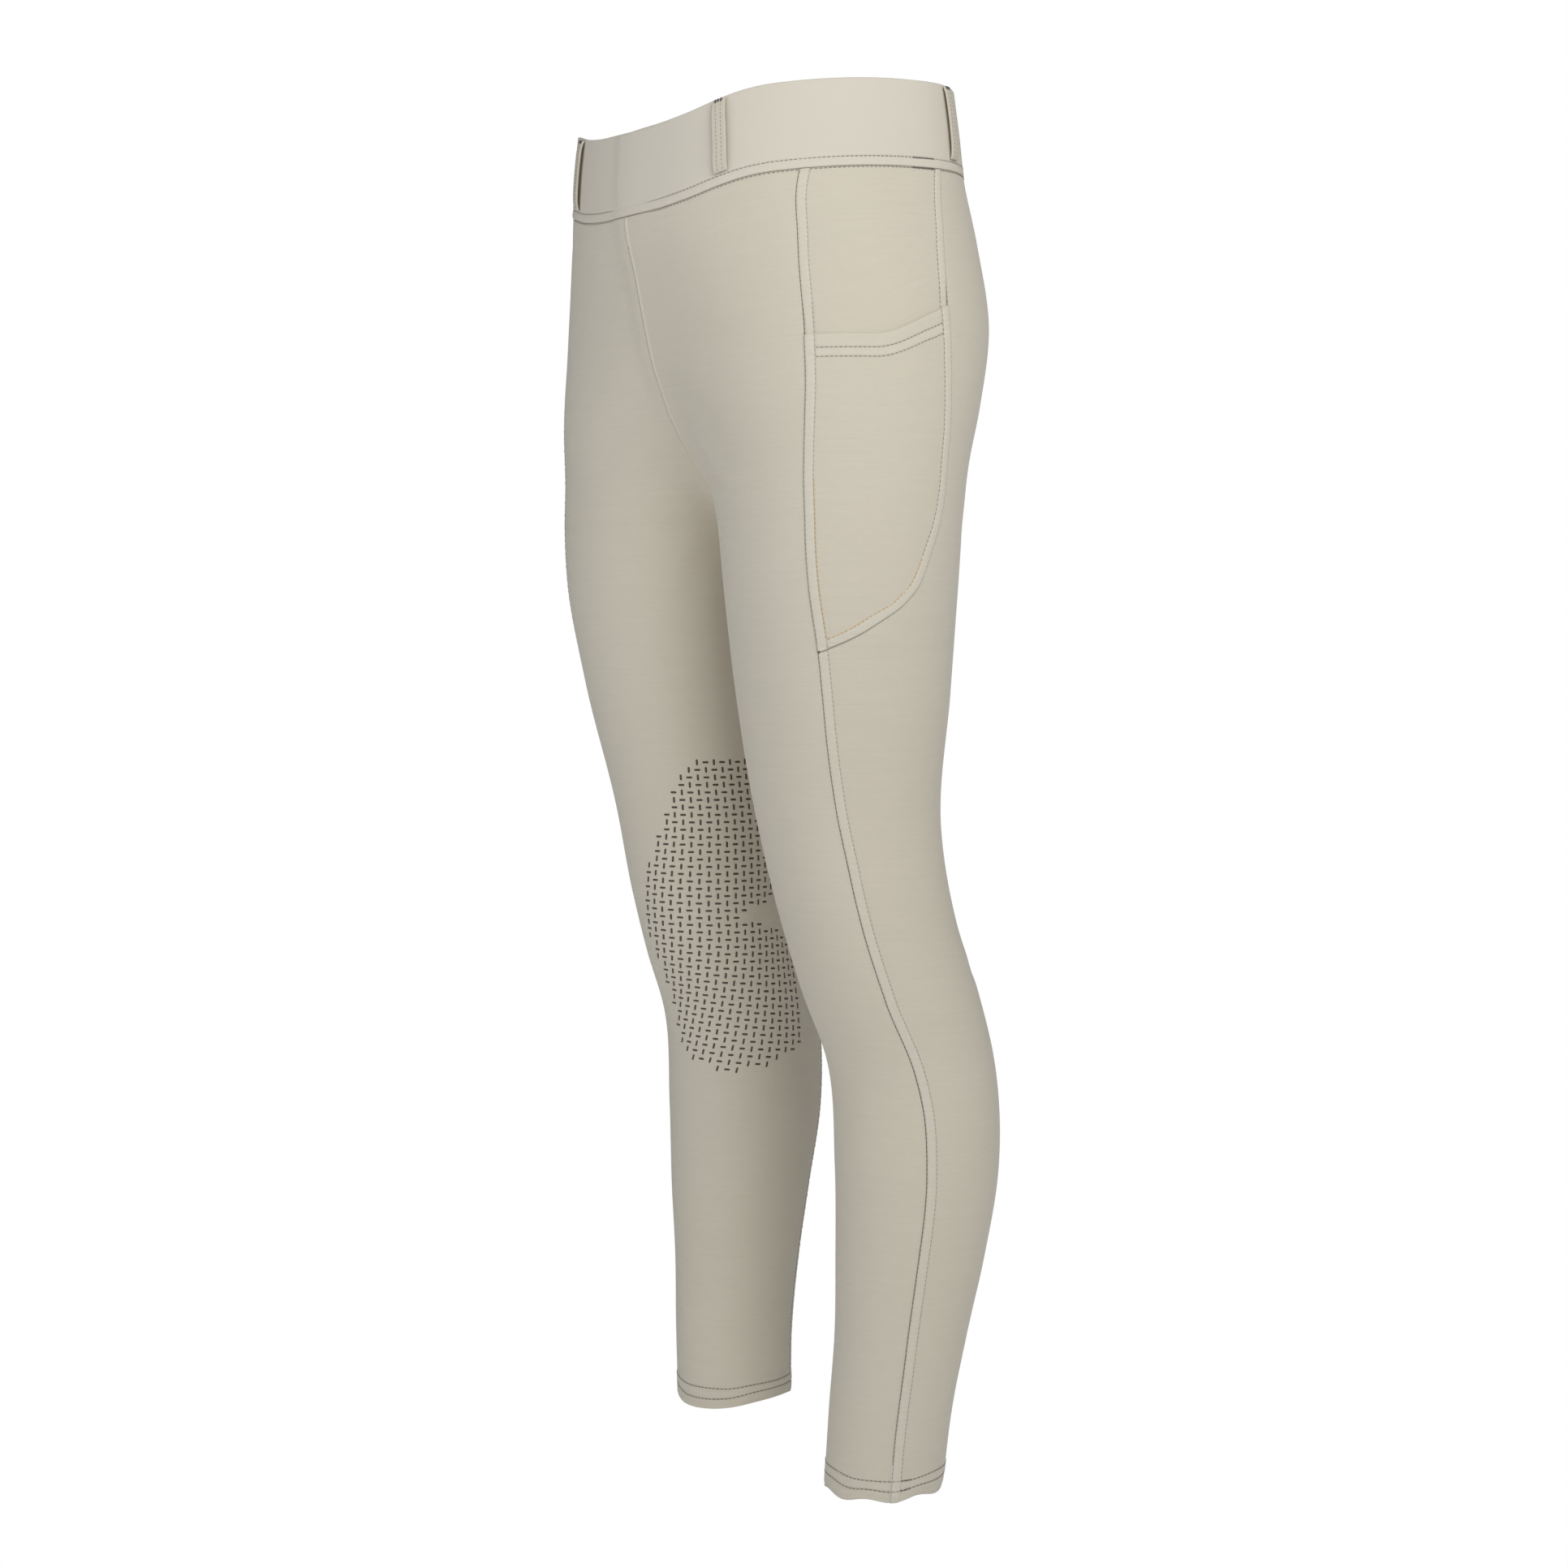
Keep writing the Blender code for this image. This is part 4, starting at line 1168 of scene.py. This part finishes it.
class Finish(bpy.types.PropertyGroup):
    """Colours and surfaces, as linear values."""
    cloth_colour: colour_property("Cloth", "Colour of the knit", (0.60, 0.555, 0.465))
    band_colour: colour_property("Band", "Colour of the waistband's knit", (0.61, 0.565, 0.475))
    loop_colour: colour_property("Loops", "Colour of the belt loops", (0.59, 0.56, 0.48))
    # Paler colour of raised seam strips and crowns: a painted highlight.
    strip_highlight_colour: colour_property("Seam strips", "Colour between stitch rows", (0.625, 0.59, 0.505))
    # Darker colour in stitch grooves and recesses: painted shade.
    groove_shade_colour: colour_property("Grooves", "Colour of the cloth under the stitches", (0.49, 0.45, 0.38))
    dark_thread_colour: colour_property("Thread", "Colour of the topstitching", (0.17, 0.15, 0.125))
    pale_thread_colour: colour_property("Pale thread", "Colour of the paler stitch rows", (0.33, 0.31, 0.26))
    middling_thread_colour: colour_property("Middling thread", "Colour of the pocket's inner row",
                                            (0.235, 0.21, 0.175))
    tan_thread_colour: colour_property("Tan thread", "Colour of the pocket tip's rows", (0.60, 0.38, 0.14))
    tack_thread_colour: colour_property("Bar tacks", "Colour of the bar tacks", (0.075, 0.07, 0.065))
    grip_colour: colour_property("Grip print", "Colour of the silicone print", (0.055, 0.040, 0.027))
    warm_tint: colour_property("Warm tint", "Tint of the cloth's warmer places", (1.0, 0.98, 0.955))
    cool_tint: colour_property("Cool tint", "Tint of the cloth's cooler places", (0.975, 0.99, 0.985))
    knit_roughness: share_property("Knit roughness", "Roughness of the knit", 0.86)
    sheen: share_property("Sheen", "Soft sheen of the knit", 0.25)
    slub: share_property("Slub", "How much the slubs change the tone", 0.085)
    mottle: share_property("Mottle", "How much the tone drifts over the cloth", 0.06)
    heather: share_property("Heather", "How much single stitches change the tone", 0.05)
    knit_bump: share_property("Knit bump", "Strength of the knit's fine relief", 0.5)


class StageSizes(bpy.types.PropertyGroup):
    """The camera, the lights and the floor."""
    azimuth: number_property("Azimuth", "Camera's turn round the tights", np.radians(53.0), "ANGLE")
    pitch: number_property("Pitch", "Camera's downward tilt", np.radians(2.79), "ANGLE")
    distance: length_property("Distance", "Camera's distance", 1.75)
    aside: length_property("Aside", "Camera's shift to its right", 0.0108)
    camera_height: length_property("Height", "Camera's height above the left hem", 0.542)
    view_width: number_property("Image width", "Width of the whole picture in pixels", 1932.0, "PIXEL")
    focal_pixels: number_property("Focal length", "Focal length in pixels", 3240.0, "PIXEL")
    floor_drop: length_property("Floor drop", "Gap between the left hem and the floor", 0.05)
    floor_size: length_property("Floor size", "Width of the floor", 60.0)
    floor_glow: number_property("Floor glow", "Light that the floor gives back", 0.2)
    lamp_distance: length_property("Lamp distance", "Distance of the lamps from the waist", 1.7)
    lamp_size: length_property("Lamp size", "Width of each lamp", 1.2)
    brightness: number_property("Brightness", "Strength of all lamps together", 0.95)
    room_strength: number_property("Room", "Strength of the room's even light", 0.08)


# Operators

def settings():
    """The groups of sizes and colours."""
    scene = bpy.context.scene
    return scene.tights_cloth, scene.tights_seams, scene.tights_print, scene.tights_finish


def made_material(name, maker, *facts):
    """A material by name, made once."""
    return bpy.data.materials.get(name) or maker(name, *facts)


def knit(finish):
    return made_material("stone_knit", knit_material, finish.cloth_colour, finish)


def thread(shade, finish):
    """The thread of one shade: dark, pale, middling, tan or tack."""
    colour = getattr(finish, f"{shade}_thread_colour")
    return made_material(f"thread_{shade}", thread_material, colour, finish)


class TIGHTS_OT_legs(bpy.types.Operator):
    """Makes the front and back panels of both legs"""
    bl_idname = "tights.legs"
    bl_label = "Leg panels"

    def execute(self, context):
        top = WAIST_SEAM - SEAM_GAP / 2
        rows = leg_rows(0.0, top, fine=((0, 2 * MM), (5.4 * MM, 10.2 * MM), (11.8 * MM, 16.4 * MM),
                                        (top - 3 * MM, top)))
        for side in BOTH:
            middle = "ridge" if side == LEFT else "butt"
            pocket_end = ("butt" if side == LEFT else "strip", "strip", POCKET_TIP)
            back_start = pocket_seam if side == LEFT else side_seam
            panels = (
                ("front", front_edge, side_seam, ((middle, "strip", CROTCH), ("butt", "butt", CROTCH))),
                ("back", back_start, back_edge, (pocket_end, (middle, "butt", CROTCH))),
            )
            for part, start, end, kinds in panels:
                node = f"{part}_{SIDE_NAMES[side]}"
                panel_shell(node, start, end, rows, side, LEG_COLUMNS[part], kinds, bottom=hem_relief,
                            seed=0.31 * side + (part == "back"))
        return {"FINISHED"}


class TIGHTS_OT_pocket(bpy.types.Operator):
    """Makes the yoke with its backing and the pocket that lies over it"""
    bl_idname = "tights.pocket"
    bl_label = "Side panel and pocket"

    def execute(self, context):
        _, seams, _, _ = settings()
        kinds = (("strip", "strip", 0.0), ("strip", "strip", 0.0))
        top = WAIST_SEAM - SEAM_GAP / 2
        low = POCKET_TIP + 0.9 * MM
        rows = leg_rows(low, top, fine=((low, low + 5 * MM), (top - 3 * MM, top)))
        backing = POCKET_PROUD - POCKET_WALL - SEAM_GAP
        face = (backing * (1 - smooth_step(MOUTH, MOUTH + BACKING_FADE, rows)))[:, None]
        panel_shell("side_panel_left", side_seam, pocket_seam, rows, LEFT, LEG_COLUMNS["pocket"], kinds,
                    base=face, seed=2.2)
        mouth = (MOUTH - seams.mouth_upper, MOUTH - seams.mouth_lower)
        rows = leg_rows(low, MOUTH, fine=((low, low + 5 * MM), (mouth[1] - 1.2 * MM, mouth[0] + 1.2 * MM),
                                          (MOUTH - 2 * MM, MOUTH)))
        panel_shell("pocket_left", side_seam, pocket_seam, rows, LEFT, LEG_COLUMNS["pocket"], kinds,
                    base=POCKET_PROUD, wall=POCKET_WALL, top=mouth_relief, seed=3.7,
                    rests_on="side_panel_left")
        return {"FINISHED"}


class TIGHTS_OT_waistband(bpy.types.Operator):
    """Makes the folded waistband as one closed ring"""
    bl_idname = "tights.waistband"
    bl_label = "Waistband"

    def execute(self, context):
        cloth, seams, _, finish = settings()
        rows, out, outside = band_profile(cloth, seams)
        halves, reliefs, lengths = [], [], []
        for side in BOTH:
            turns, length = band_turns(side)
            grid, turn_grid = np.meshgrid(rows, turns, indexing="ij")
            facing = (np.arange(len(rows)) < outside)[:, None]
            height, strip, groove = band_relief(grid, turn_grid, side, seams)
            from_middle = np.linspace(0, length, len(turns))
            height = height + centre_crest(from_middle, grid, side, seams)
            push = out[:, None] + np.where(facing, height, 0.0) + 0.25 * MM * wobble(turn_grid * 0.13, 2)
            half = cloth_points(turn_grid, grid, side, push)
            half[:, [0, -1], 0] = 0.0
            halves.append(half)
            # The strip mask is a painted highlight and the groove mask painted shade, on the outside only.
            reliefs.append((np.where(facing, strip, 0.0), np.where(facing, groove, 0.0)))
            lengths.append(length)
        joined = np.concatenate([halves[0], halves[1][:, -2:0:-1]], 1)
        strip, groove = (np.concatenate([reliefs[0][k], reliefs[1][k][:, -2:0:-1]], 1) for k in (0, 1))
        columns = joined.shape[1]
        across = np.linspace(0, sum(lengths), columns, endpoint=False)
        places = np.stack(np.broadcast_arrays(across[None], rows[:, None]), -1)
        surface = Surface()
        numbers = surface.add_grid(joined, places, strip, groove, wrap=True)
        ring = np.append(np.arange(columns), 0)
        last, first = numbers[-1][ring], numbers[0][ring]
        surface.faces += [[int(last[i]), int(last[i + 1]), int(first[i + 1]), int(first[i])]
                          for i in range(columns)]
        band = made_material("band_knit", knit_material, finish.band_colour, finish)
        piece = dress(surface.piece("cloth_waistband", band), "waistband")
        declare_sheet(piece, joined[:outside + 4], cloth)
        return {"FINISHED"}


class TIGHTS_OT_belt_loops(bpy.types.Operator):
    """Makes the four belt loops with their stitches and bar tacks"""
    bl_idname = "tights.belt_loops"
    bl_label = "Belt loops"

    def execute(self, context):
        _, seams, _, finish = settings()
        tape = made_material("loop_tape", knit_material, finish.loop_colour, finish, 1.6)
        stitches, tacks = Surface(), Surface()
        for loop in BELT_LOOPS:
            self.tape(loop, tape)
            self.stitching(loop, seams, stitches, tacks)
        stitches.piece("thread_belt_loops", thread("dark", finish))
        tacks.piece("thread_bar_tacks", thread("tack", finish))
        return {"FINISHED"}

    def tape(self, loop, material):
        """A folded tape with rounded edges: flat under, and gently crowned between its stitch rows."""
        half = np.array(TAPE_HALF)
        mirrored = half * (-1, 1)
        around = np.concatenate([mirrored[5::-1], half, mirrored[:5:-1]])
        along = np.concatenate([[-1.0], np.linspace(-0.985, 0.985, 46), [1.0]])
        inset = np.ones(len(along))
        inset[[0, -1]] = 0.5
        across = np.repeat(around[None, :, 0], len(along), 0)
        thick = 0.5 + (around[None, :, 1] - 0.5) * inset[:, None]
        points, _ = loop_path(loop, across, along[:, None] + 0 * across, thick * LOOP_WALL)
        places = np.stack([across * LOOP_WIDTH / 2, along[:, None] * 0.027 + 0 * across], -1)
        surface = Surface()
        # Painted shade along the stitch rows on the tape's top, and a painted highlight on its crown between
        # them.
        groove = np.repeat(groove_at(np.abs(around[:, 0]), LOOP_ROW_AT, 0.06)[None], len(along), 0)
        strip = np.repeat((np.abs(around[:, 0]) < 0.3).astype(float)[None], len(along), 0)
        numbers = surface.add_grid(points, places, strip, groove * (around[None, :, 1] > 0.5), wrap=True)
        surface.faces += [[int(n) for n in numbers[0]], [int(n) for n in numbers[-1]]]
        dress(surface.piece(f"loop_{loop.name}", material), f"belt_loop_{loop.name}")

    def stitching(self, loop, seams, stitches, tacks):
        along = np.linspace(-0.97, 0.97, 40)
        for across in (-LOOP_ROW_AT, LOOP_ROW_AT):
            points, normals = loop_path(loop, np.full_like(along, across), along, 0.93 * LOOP_WALL)
            sew(stitches, points, normals, seams, seams.stitch * 0.9, 0.9)
        across = np.linspace(-TACK_REACH, TACK_REACH, 9)
        for row in np.linspace(*TACK_ROWS, 5):
            points, normals = loop_path(loop, across, np.full_like(across, row), 1.1 * LOOP_WALL)
            sew(tacks, points, normals, seams, 2.2 * MM, 1.7)


class TIGHTS_OT_stitching(bpy.types.Operator):
    """Sews the twin rows along the seams, the hems, the waist and the pocket"""
    bl_idname = "tights.stitching"
    bl_label = "Stitching"

    def execute(self, context):
        _, seams, _, _ = settings()
        for side in BOTH:
            name = SIDE_NAMES[side]
            self.sewn(f"side_seam_{name}", "dark", self.side_rows(side, FIRST_ROW))
            self.sewn(f"side_seam_back_{name}", "pale", self.side_rows(side, seams.gauge))
            self.sewn(f"inseam_{name}", "pale", self.inseam_rows(side, seams))
            self.sewn(f"hem_{name}", "dark", self.hem_rows(side, seams))
            self.sewn(f"waist_{name}", "dark", self.waist_rows(side, seams))
        self.sewn("pocket_outer", "pale", self.pocket_rows(FIRST_ROW, seams, TIP_CLEARANCE, 1))
        self.sewn("pocket_inner", "middling", self.pocket_rows(seams.gauge, seams, TAN_SHARE[1], 1))
        self.sewn("pocket_tan", "tan", self.pocket_rows(seams.gauge, seams, *TAN_SHARE, 1.6))
        self.sewn("side_seam_tan", "tan", self.tan_rows(seams))
        self.sewn("pocket_mouth", "dark", self.mouth_rows(seams))
        self.sewn("sewn_twice", "tack", self.over_rows(seams))
        return {"FINISHED"}

    def sewn(self, name, shade, lines):
        """One piece of thread; a line is turns, rows, side, how far out, and shares of length and width."""
        _, seams, _, finish = settings()
        surface = Surface()
        for turns, rows, side, out, *sizes in lines:
            sew_line(surface, turns, rows, side, out, seams, *sizes)
        surface.piece(f"thread_{name}", thread(shade, finish))

    def side_rows(self, side, inside):
        """One row down a side seam, on the panel behind it."""
        rows = np.linspace(0.6 * MM, WAIST_SEAM - 0.8 * MM, 900)
        lap = POCKET_PROUD * ((rows > POCKET_TIP) & (rows < MOUTH)) if side == LEFT else 0.0
        yield beside(side_seam, rows, side, -inside), rows, side, lap + THREAD_OUT

    def tan_rows(self, seams):
        """Tan thread over the side seam's inner row, from the pocket's tip up."""
        rows = POCKET_TIP + np.linspace(*TAN_ROWS, 120)
        turns = beside(side_seam, rows, LEFT, -seams.gauge - 0.3 * MM)
        yield turns, rows, LEFT, POCKET_PROUD + 0.12 * MM, 1.0, 1.2

    def inseam_rows(self, side, seams):
        rows = np.linspace(0.6 * MM, CROTCH - 6 * MM, 640)
        for inside in (FIRST_ROW, seams.gauge):
            yield beside(lambda row: seam_turn(INSEAM, row), rows, side, -inside), rows, side, THREAD_OUT

    def hem_rows(self, side, seams):
        turns = np.linspace(0, 360, 721)
        for row in (seams.hem_lower, seams.hem_upper):
            yield turns, row + hem_rise(turns, side), side, 0.2 * MM, 1.0, 1.3

    def over_rows(self, seams):
        """Short lengths sewn twice: where the hems' rows close, and on the left of the band."""
        over = np.linspace(*HEM_SEWN_TWICE, 24)
        for side in BOTH:
            for row in (seams.hem_lower, seams.hem_upper):
                yield over, row + hem_rise(over, side) + 0.2 * MM, side, 0.35 * MM, 0.6, 1.8
        over = np.linspace(*BAND_SEWN_TWICE, 24)
        yield over, WAIST_SEAM - 0.5 * MM, LEFT, 0.35 * MM, 0.6, 1.8
        yield over, WAIST_SEAM + seams.band_row, LEFT, BAND_PROUD + 0.15 * MM, 0.6, 1.8

    def waist_rows(self, side, seams):
        turns, _ = band_turns(side, 400)
        yield turns, WAIST_SEAM - 0.7 * MM, side, 0.1 * MM
        yield turns, WAIST_SEAM + seams.band_row, side, BAND_PROUD - 0.1 * MM

    def pocket_rows(self, inside, seams, first, last, thickness=1.0):
        """A row beside the pocket's seam, over a part of its length from the tip up."""
        low, high = POCKET_TIP + 1.2 * MM, WAIST_SEAM - 0.8 * MM
        rows = low + (high - low) * np.linspace(0, 1, 700) ** 2
        turns = beside(pocket_seam, rows, LEFT, inside)
        run = run_along(surface_points(turns, rows, LEFT), 0)
        on_pocket = turns < beside(side_seam, rows, LEFT, -seams.gauge)
        chosen = (run >= first * run[-1]) & (run <= last * run[-1]) & on_pocket
        rows, turns = rows[chosen], turns[chosen]
        yield turns, rows, LEFT, POCKET_PROUD * (rows < MOUTH) + THREAD_OUT, 1.0, thickness

    def mouth_rows(self, seams):
        for depth in (seams.mouth_upper, seams.mouth_lower):
            row = np.array([MOUTH - depth])
            first = beside(side_seam, row, LEFT, -seams.gauge)[0]
            last = beside(pocket_seam, row, LEFT, seams.gauge)[0]
            yield np.linspace(first, last, 200), row, LEFT, POCKET_PROUD + 0.1 * MM


class TIGHTS_OT_grip_print(bpy.types.Operator):
    """Prints the dashes of silicone inside both knees"""
    bl_idname = "tights.grip_print"
    bl_label = "Knee grip print"

    def execute(self, context):
        _, _, sizes, finish = settings()
        material = made_material("grip_print", grip_material, finish.grip_colour)
        for side in BOTH:
            surface = Surface()
            self.dashes(surface, KneeCloth(side), sizes)
            surface.piece(f"grip_print_{SIDE_NAMES[side]}", material)
        return {"FINISHED"}

    def dashes(self, surface, knee, sizes):
        """Raised dashes in a basket pattern: every second one lies along the rows, and the others stand."""
        columns, rows = np.meshgrid(np.arange(-9, 11), np.arange(43))
        columns, rows = columns.ravel(), rows.ravel()
        chosen = printed(columns, rows)
        if knee.side == LEFT:
            run, _ = print_place(columns, rows, sizes, knee.side)
            chosen = chosen & (np.abs(run) > SEAM_CLEARANCE)
        columns, rows = columns[chosen, None], rows[chosen, None]
        outline = self.outline(sizes)
        spacing = read_band("spacing", PRINT_TOP / MM - rows * sizes.row_step / MM) * MM
        lying = (columns + rows) % 2 == 0
        numbers = []
        for share, out in ((1.0, -0.5), (1.0, 0.55), (0.7, 1.0)):
            along, aside = outline[:, 0] * (0.5 + 0.5 * share), outline[:, 1] * share
            i = columns + np.where(lying, along, aside) / spacing
            j = rows + np.where(lying, aside, along) / sizes.row_step
            run, height = print_place(i, j, sizes, knee.side)
            points = knee.points(run, height, out * sizes.dash_height)
            numbers.append(surface.add_points(points, np.stack([run, height], -1)).reshape(i.shape))
        ring = np.append(np.arange(len(outline)), 0)
        for low, high in zip(numbers[:-1], numbers[1:]):
            sides = np.stack([low[:, ring[:-1]], low[:, ring[1:]], high[:, ring[1:]], high[:, ring[:-1]]], -1)
            surface.faces += sides.reshape(-1, 4).tolist()
        surface.faces += numbers[0].tolist() + numbers[-1].tolist()

    def outline(self, sizes):
        """A dash with round ends, lying along X."""
        radius = sizes.dash_width / 2
        angles = np.radians([-90, -45, 0, 45, 90, 90, 135, 180, 225, 270])
        ends = np.repeat([1, -1], 5) * (sizes.dash_length / 2 - radius)
        return np.stack([np.cos(angles) * radius + ends, np.sin(angles) * radius], -1)


class TIGHTS_OT_stage(bpy.types.Operator):
    """Sets the camera, the floor and the lights"""
    bl_idname = "tights.stage"
    bl_label = "Stage"

    def execute(self, context):
        stage = context.scene.tights_stage
        self.camera(context, stage)
        self.floor(context, stage)
        self.lights(context, stage)
        return {"FINISHED"}

    def camera(self, context, stage):
        camera = bpy.data.objects.new("camera", bpy.data.cameras.new("camera"))
        context.scene.collection.objects.link(camera)
        context.scene.camera = camera
        camera.data.lens = stage.focal_pixels / stage.view_width * camera.data.sensor_width
        back = Vector((np.sin(stage.azimuth), -np.cos(stage.azimuth), 0.0))
        right = Vector((np.cos(stage.azimuth), np.sin(stage.azimuth), 0.0))
        camera.location = back * stage.distance + right * stage.aside
        camera.location.z = stage.camera_height - HOLD_HEIGHT
        camera.rotation_euler = (np.pi / 2 - stage.pitch, 0.0, stage.azimuth)

    def floor(self, context, stage):
        bpy.ops.mesh.primitive_circle_add(vertices=96, radius=stage.floor_size / 2, fill_type="NGON",
                                          location=(0, 0, -HOLD_HEIGHT - stage.floor_drop))
        floor = context.active_object
        floor.name = "floor"
        floor.data.materials.append(floor_material("floor_pale", FLOOR_COLOUR, stage.floor_glow))

    def lights(self, context, stage):
        """Large soft lamps at the height of the waist, and the faint even light of a room."""
        for lamp in LAMPS:
            light = bpy.data.lights.new(lamp.name, "AREA")
            light.size = stage.lamp_size
            light.energy = stage.brightness * lamp.strength * np.pi * stage.lamp_distance**2
            light.color = lamp.colour
            holder = bpy.data.objects.new(lamp.name, light)
            azimuth, height = np.radians(lamp.azimuth), np.radians(lamp.height)
            level = np.array((np.sin(azimuth), -np.cos(azimuth), 0.0)) * np.cos(height)
            holder.location = Vector(level + (0.0, 0.0, np.sin(height))) * stage.lamp_distance
            holder.rotation_euler = (np.pi / 2 - height, 0.0, azimuth)
            holder.visible_camera = False
            context.scene.collection.objects.link(holder)
        world = bpy.data.worlds.new("room")
        context.scene.world = world
        board = Board(world, "Background")
        board.set_shader(Color=(*ROOM_COLOUR, 1.0), Strength=stage.room_strength)
        board.white_to_camera("ShaderNodeBackground", "Background", "World Output")
        context.scene.view_settings.view_transform = "Standard"


class TIGHTS_PT_sidebar(bpy.types.Panel):
    """Lists the steps that dress the tights, with their sizes and colours."""
    bl_idname = "TIGHTS_PT_sidebar"
    bl_label = "Riding tights"
    bl_space_type = "VIEW_3D"
    bl_region_type = "UI"
    bl_category = "Tights"

    def draw(self, context):
        for operator in OPERATORS:
            self.layout.operator(operator.bl_idname)
        for name, group in GROUPS.items():
            box = self.layout.box()
            for field in group.__annotations__:
                box.prop(getattr(context.scene, name), field)


OPERATORS = (TIGHTS_OT_stage, TIGHTS_OT_legs, TIGHTS_OT_pocket, TIGHTS_OT_waistband, TIGHTS_OT_belt_loops,
             TIGHTS_OT_stitching, TIGHTS_OT_grip_print)
GROUPS = {"tights_cloth": ClothSizes, "tights_seams": SeamSizes, "tights_print": PrintSizes,
          "tights_finish": Finish, "tights_stage": StageSizes}


def register():
    for kind in (*GROUPS.values(), *OPERATORS, TIGHTS_PT_sidebar):
        bpy.utils.register_class(kind)
    for name, group in GROUPS.items():
        setattr(bpy.types.Scene, name, PointerProperty(type=group))


def unregister():
    for name in GROUPS:
        delattr(bpy.types.Scene, name)
    for kind in (TIGHTS_PT_sidebar, *OPERATORS, *reversed(GROUPS.values())):
        bpy.utils.unregister_class(kind)


def main():
    """Dresses the tights."""
    register()
    bpy.ops.tights.stage()
    bpy.ops.tights.legs()
    bpy.ops.tights.pocket()
    bpy.ops.tights.waistband()
    bpy.ops.tights.belt_loops()
    bpy.ops.tights.stitching()
    bpy.ops.tights.grip_print()


if __name__ == "__main__":
    main()
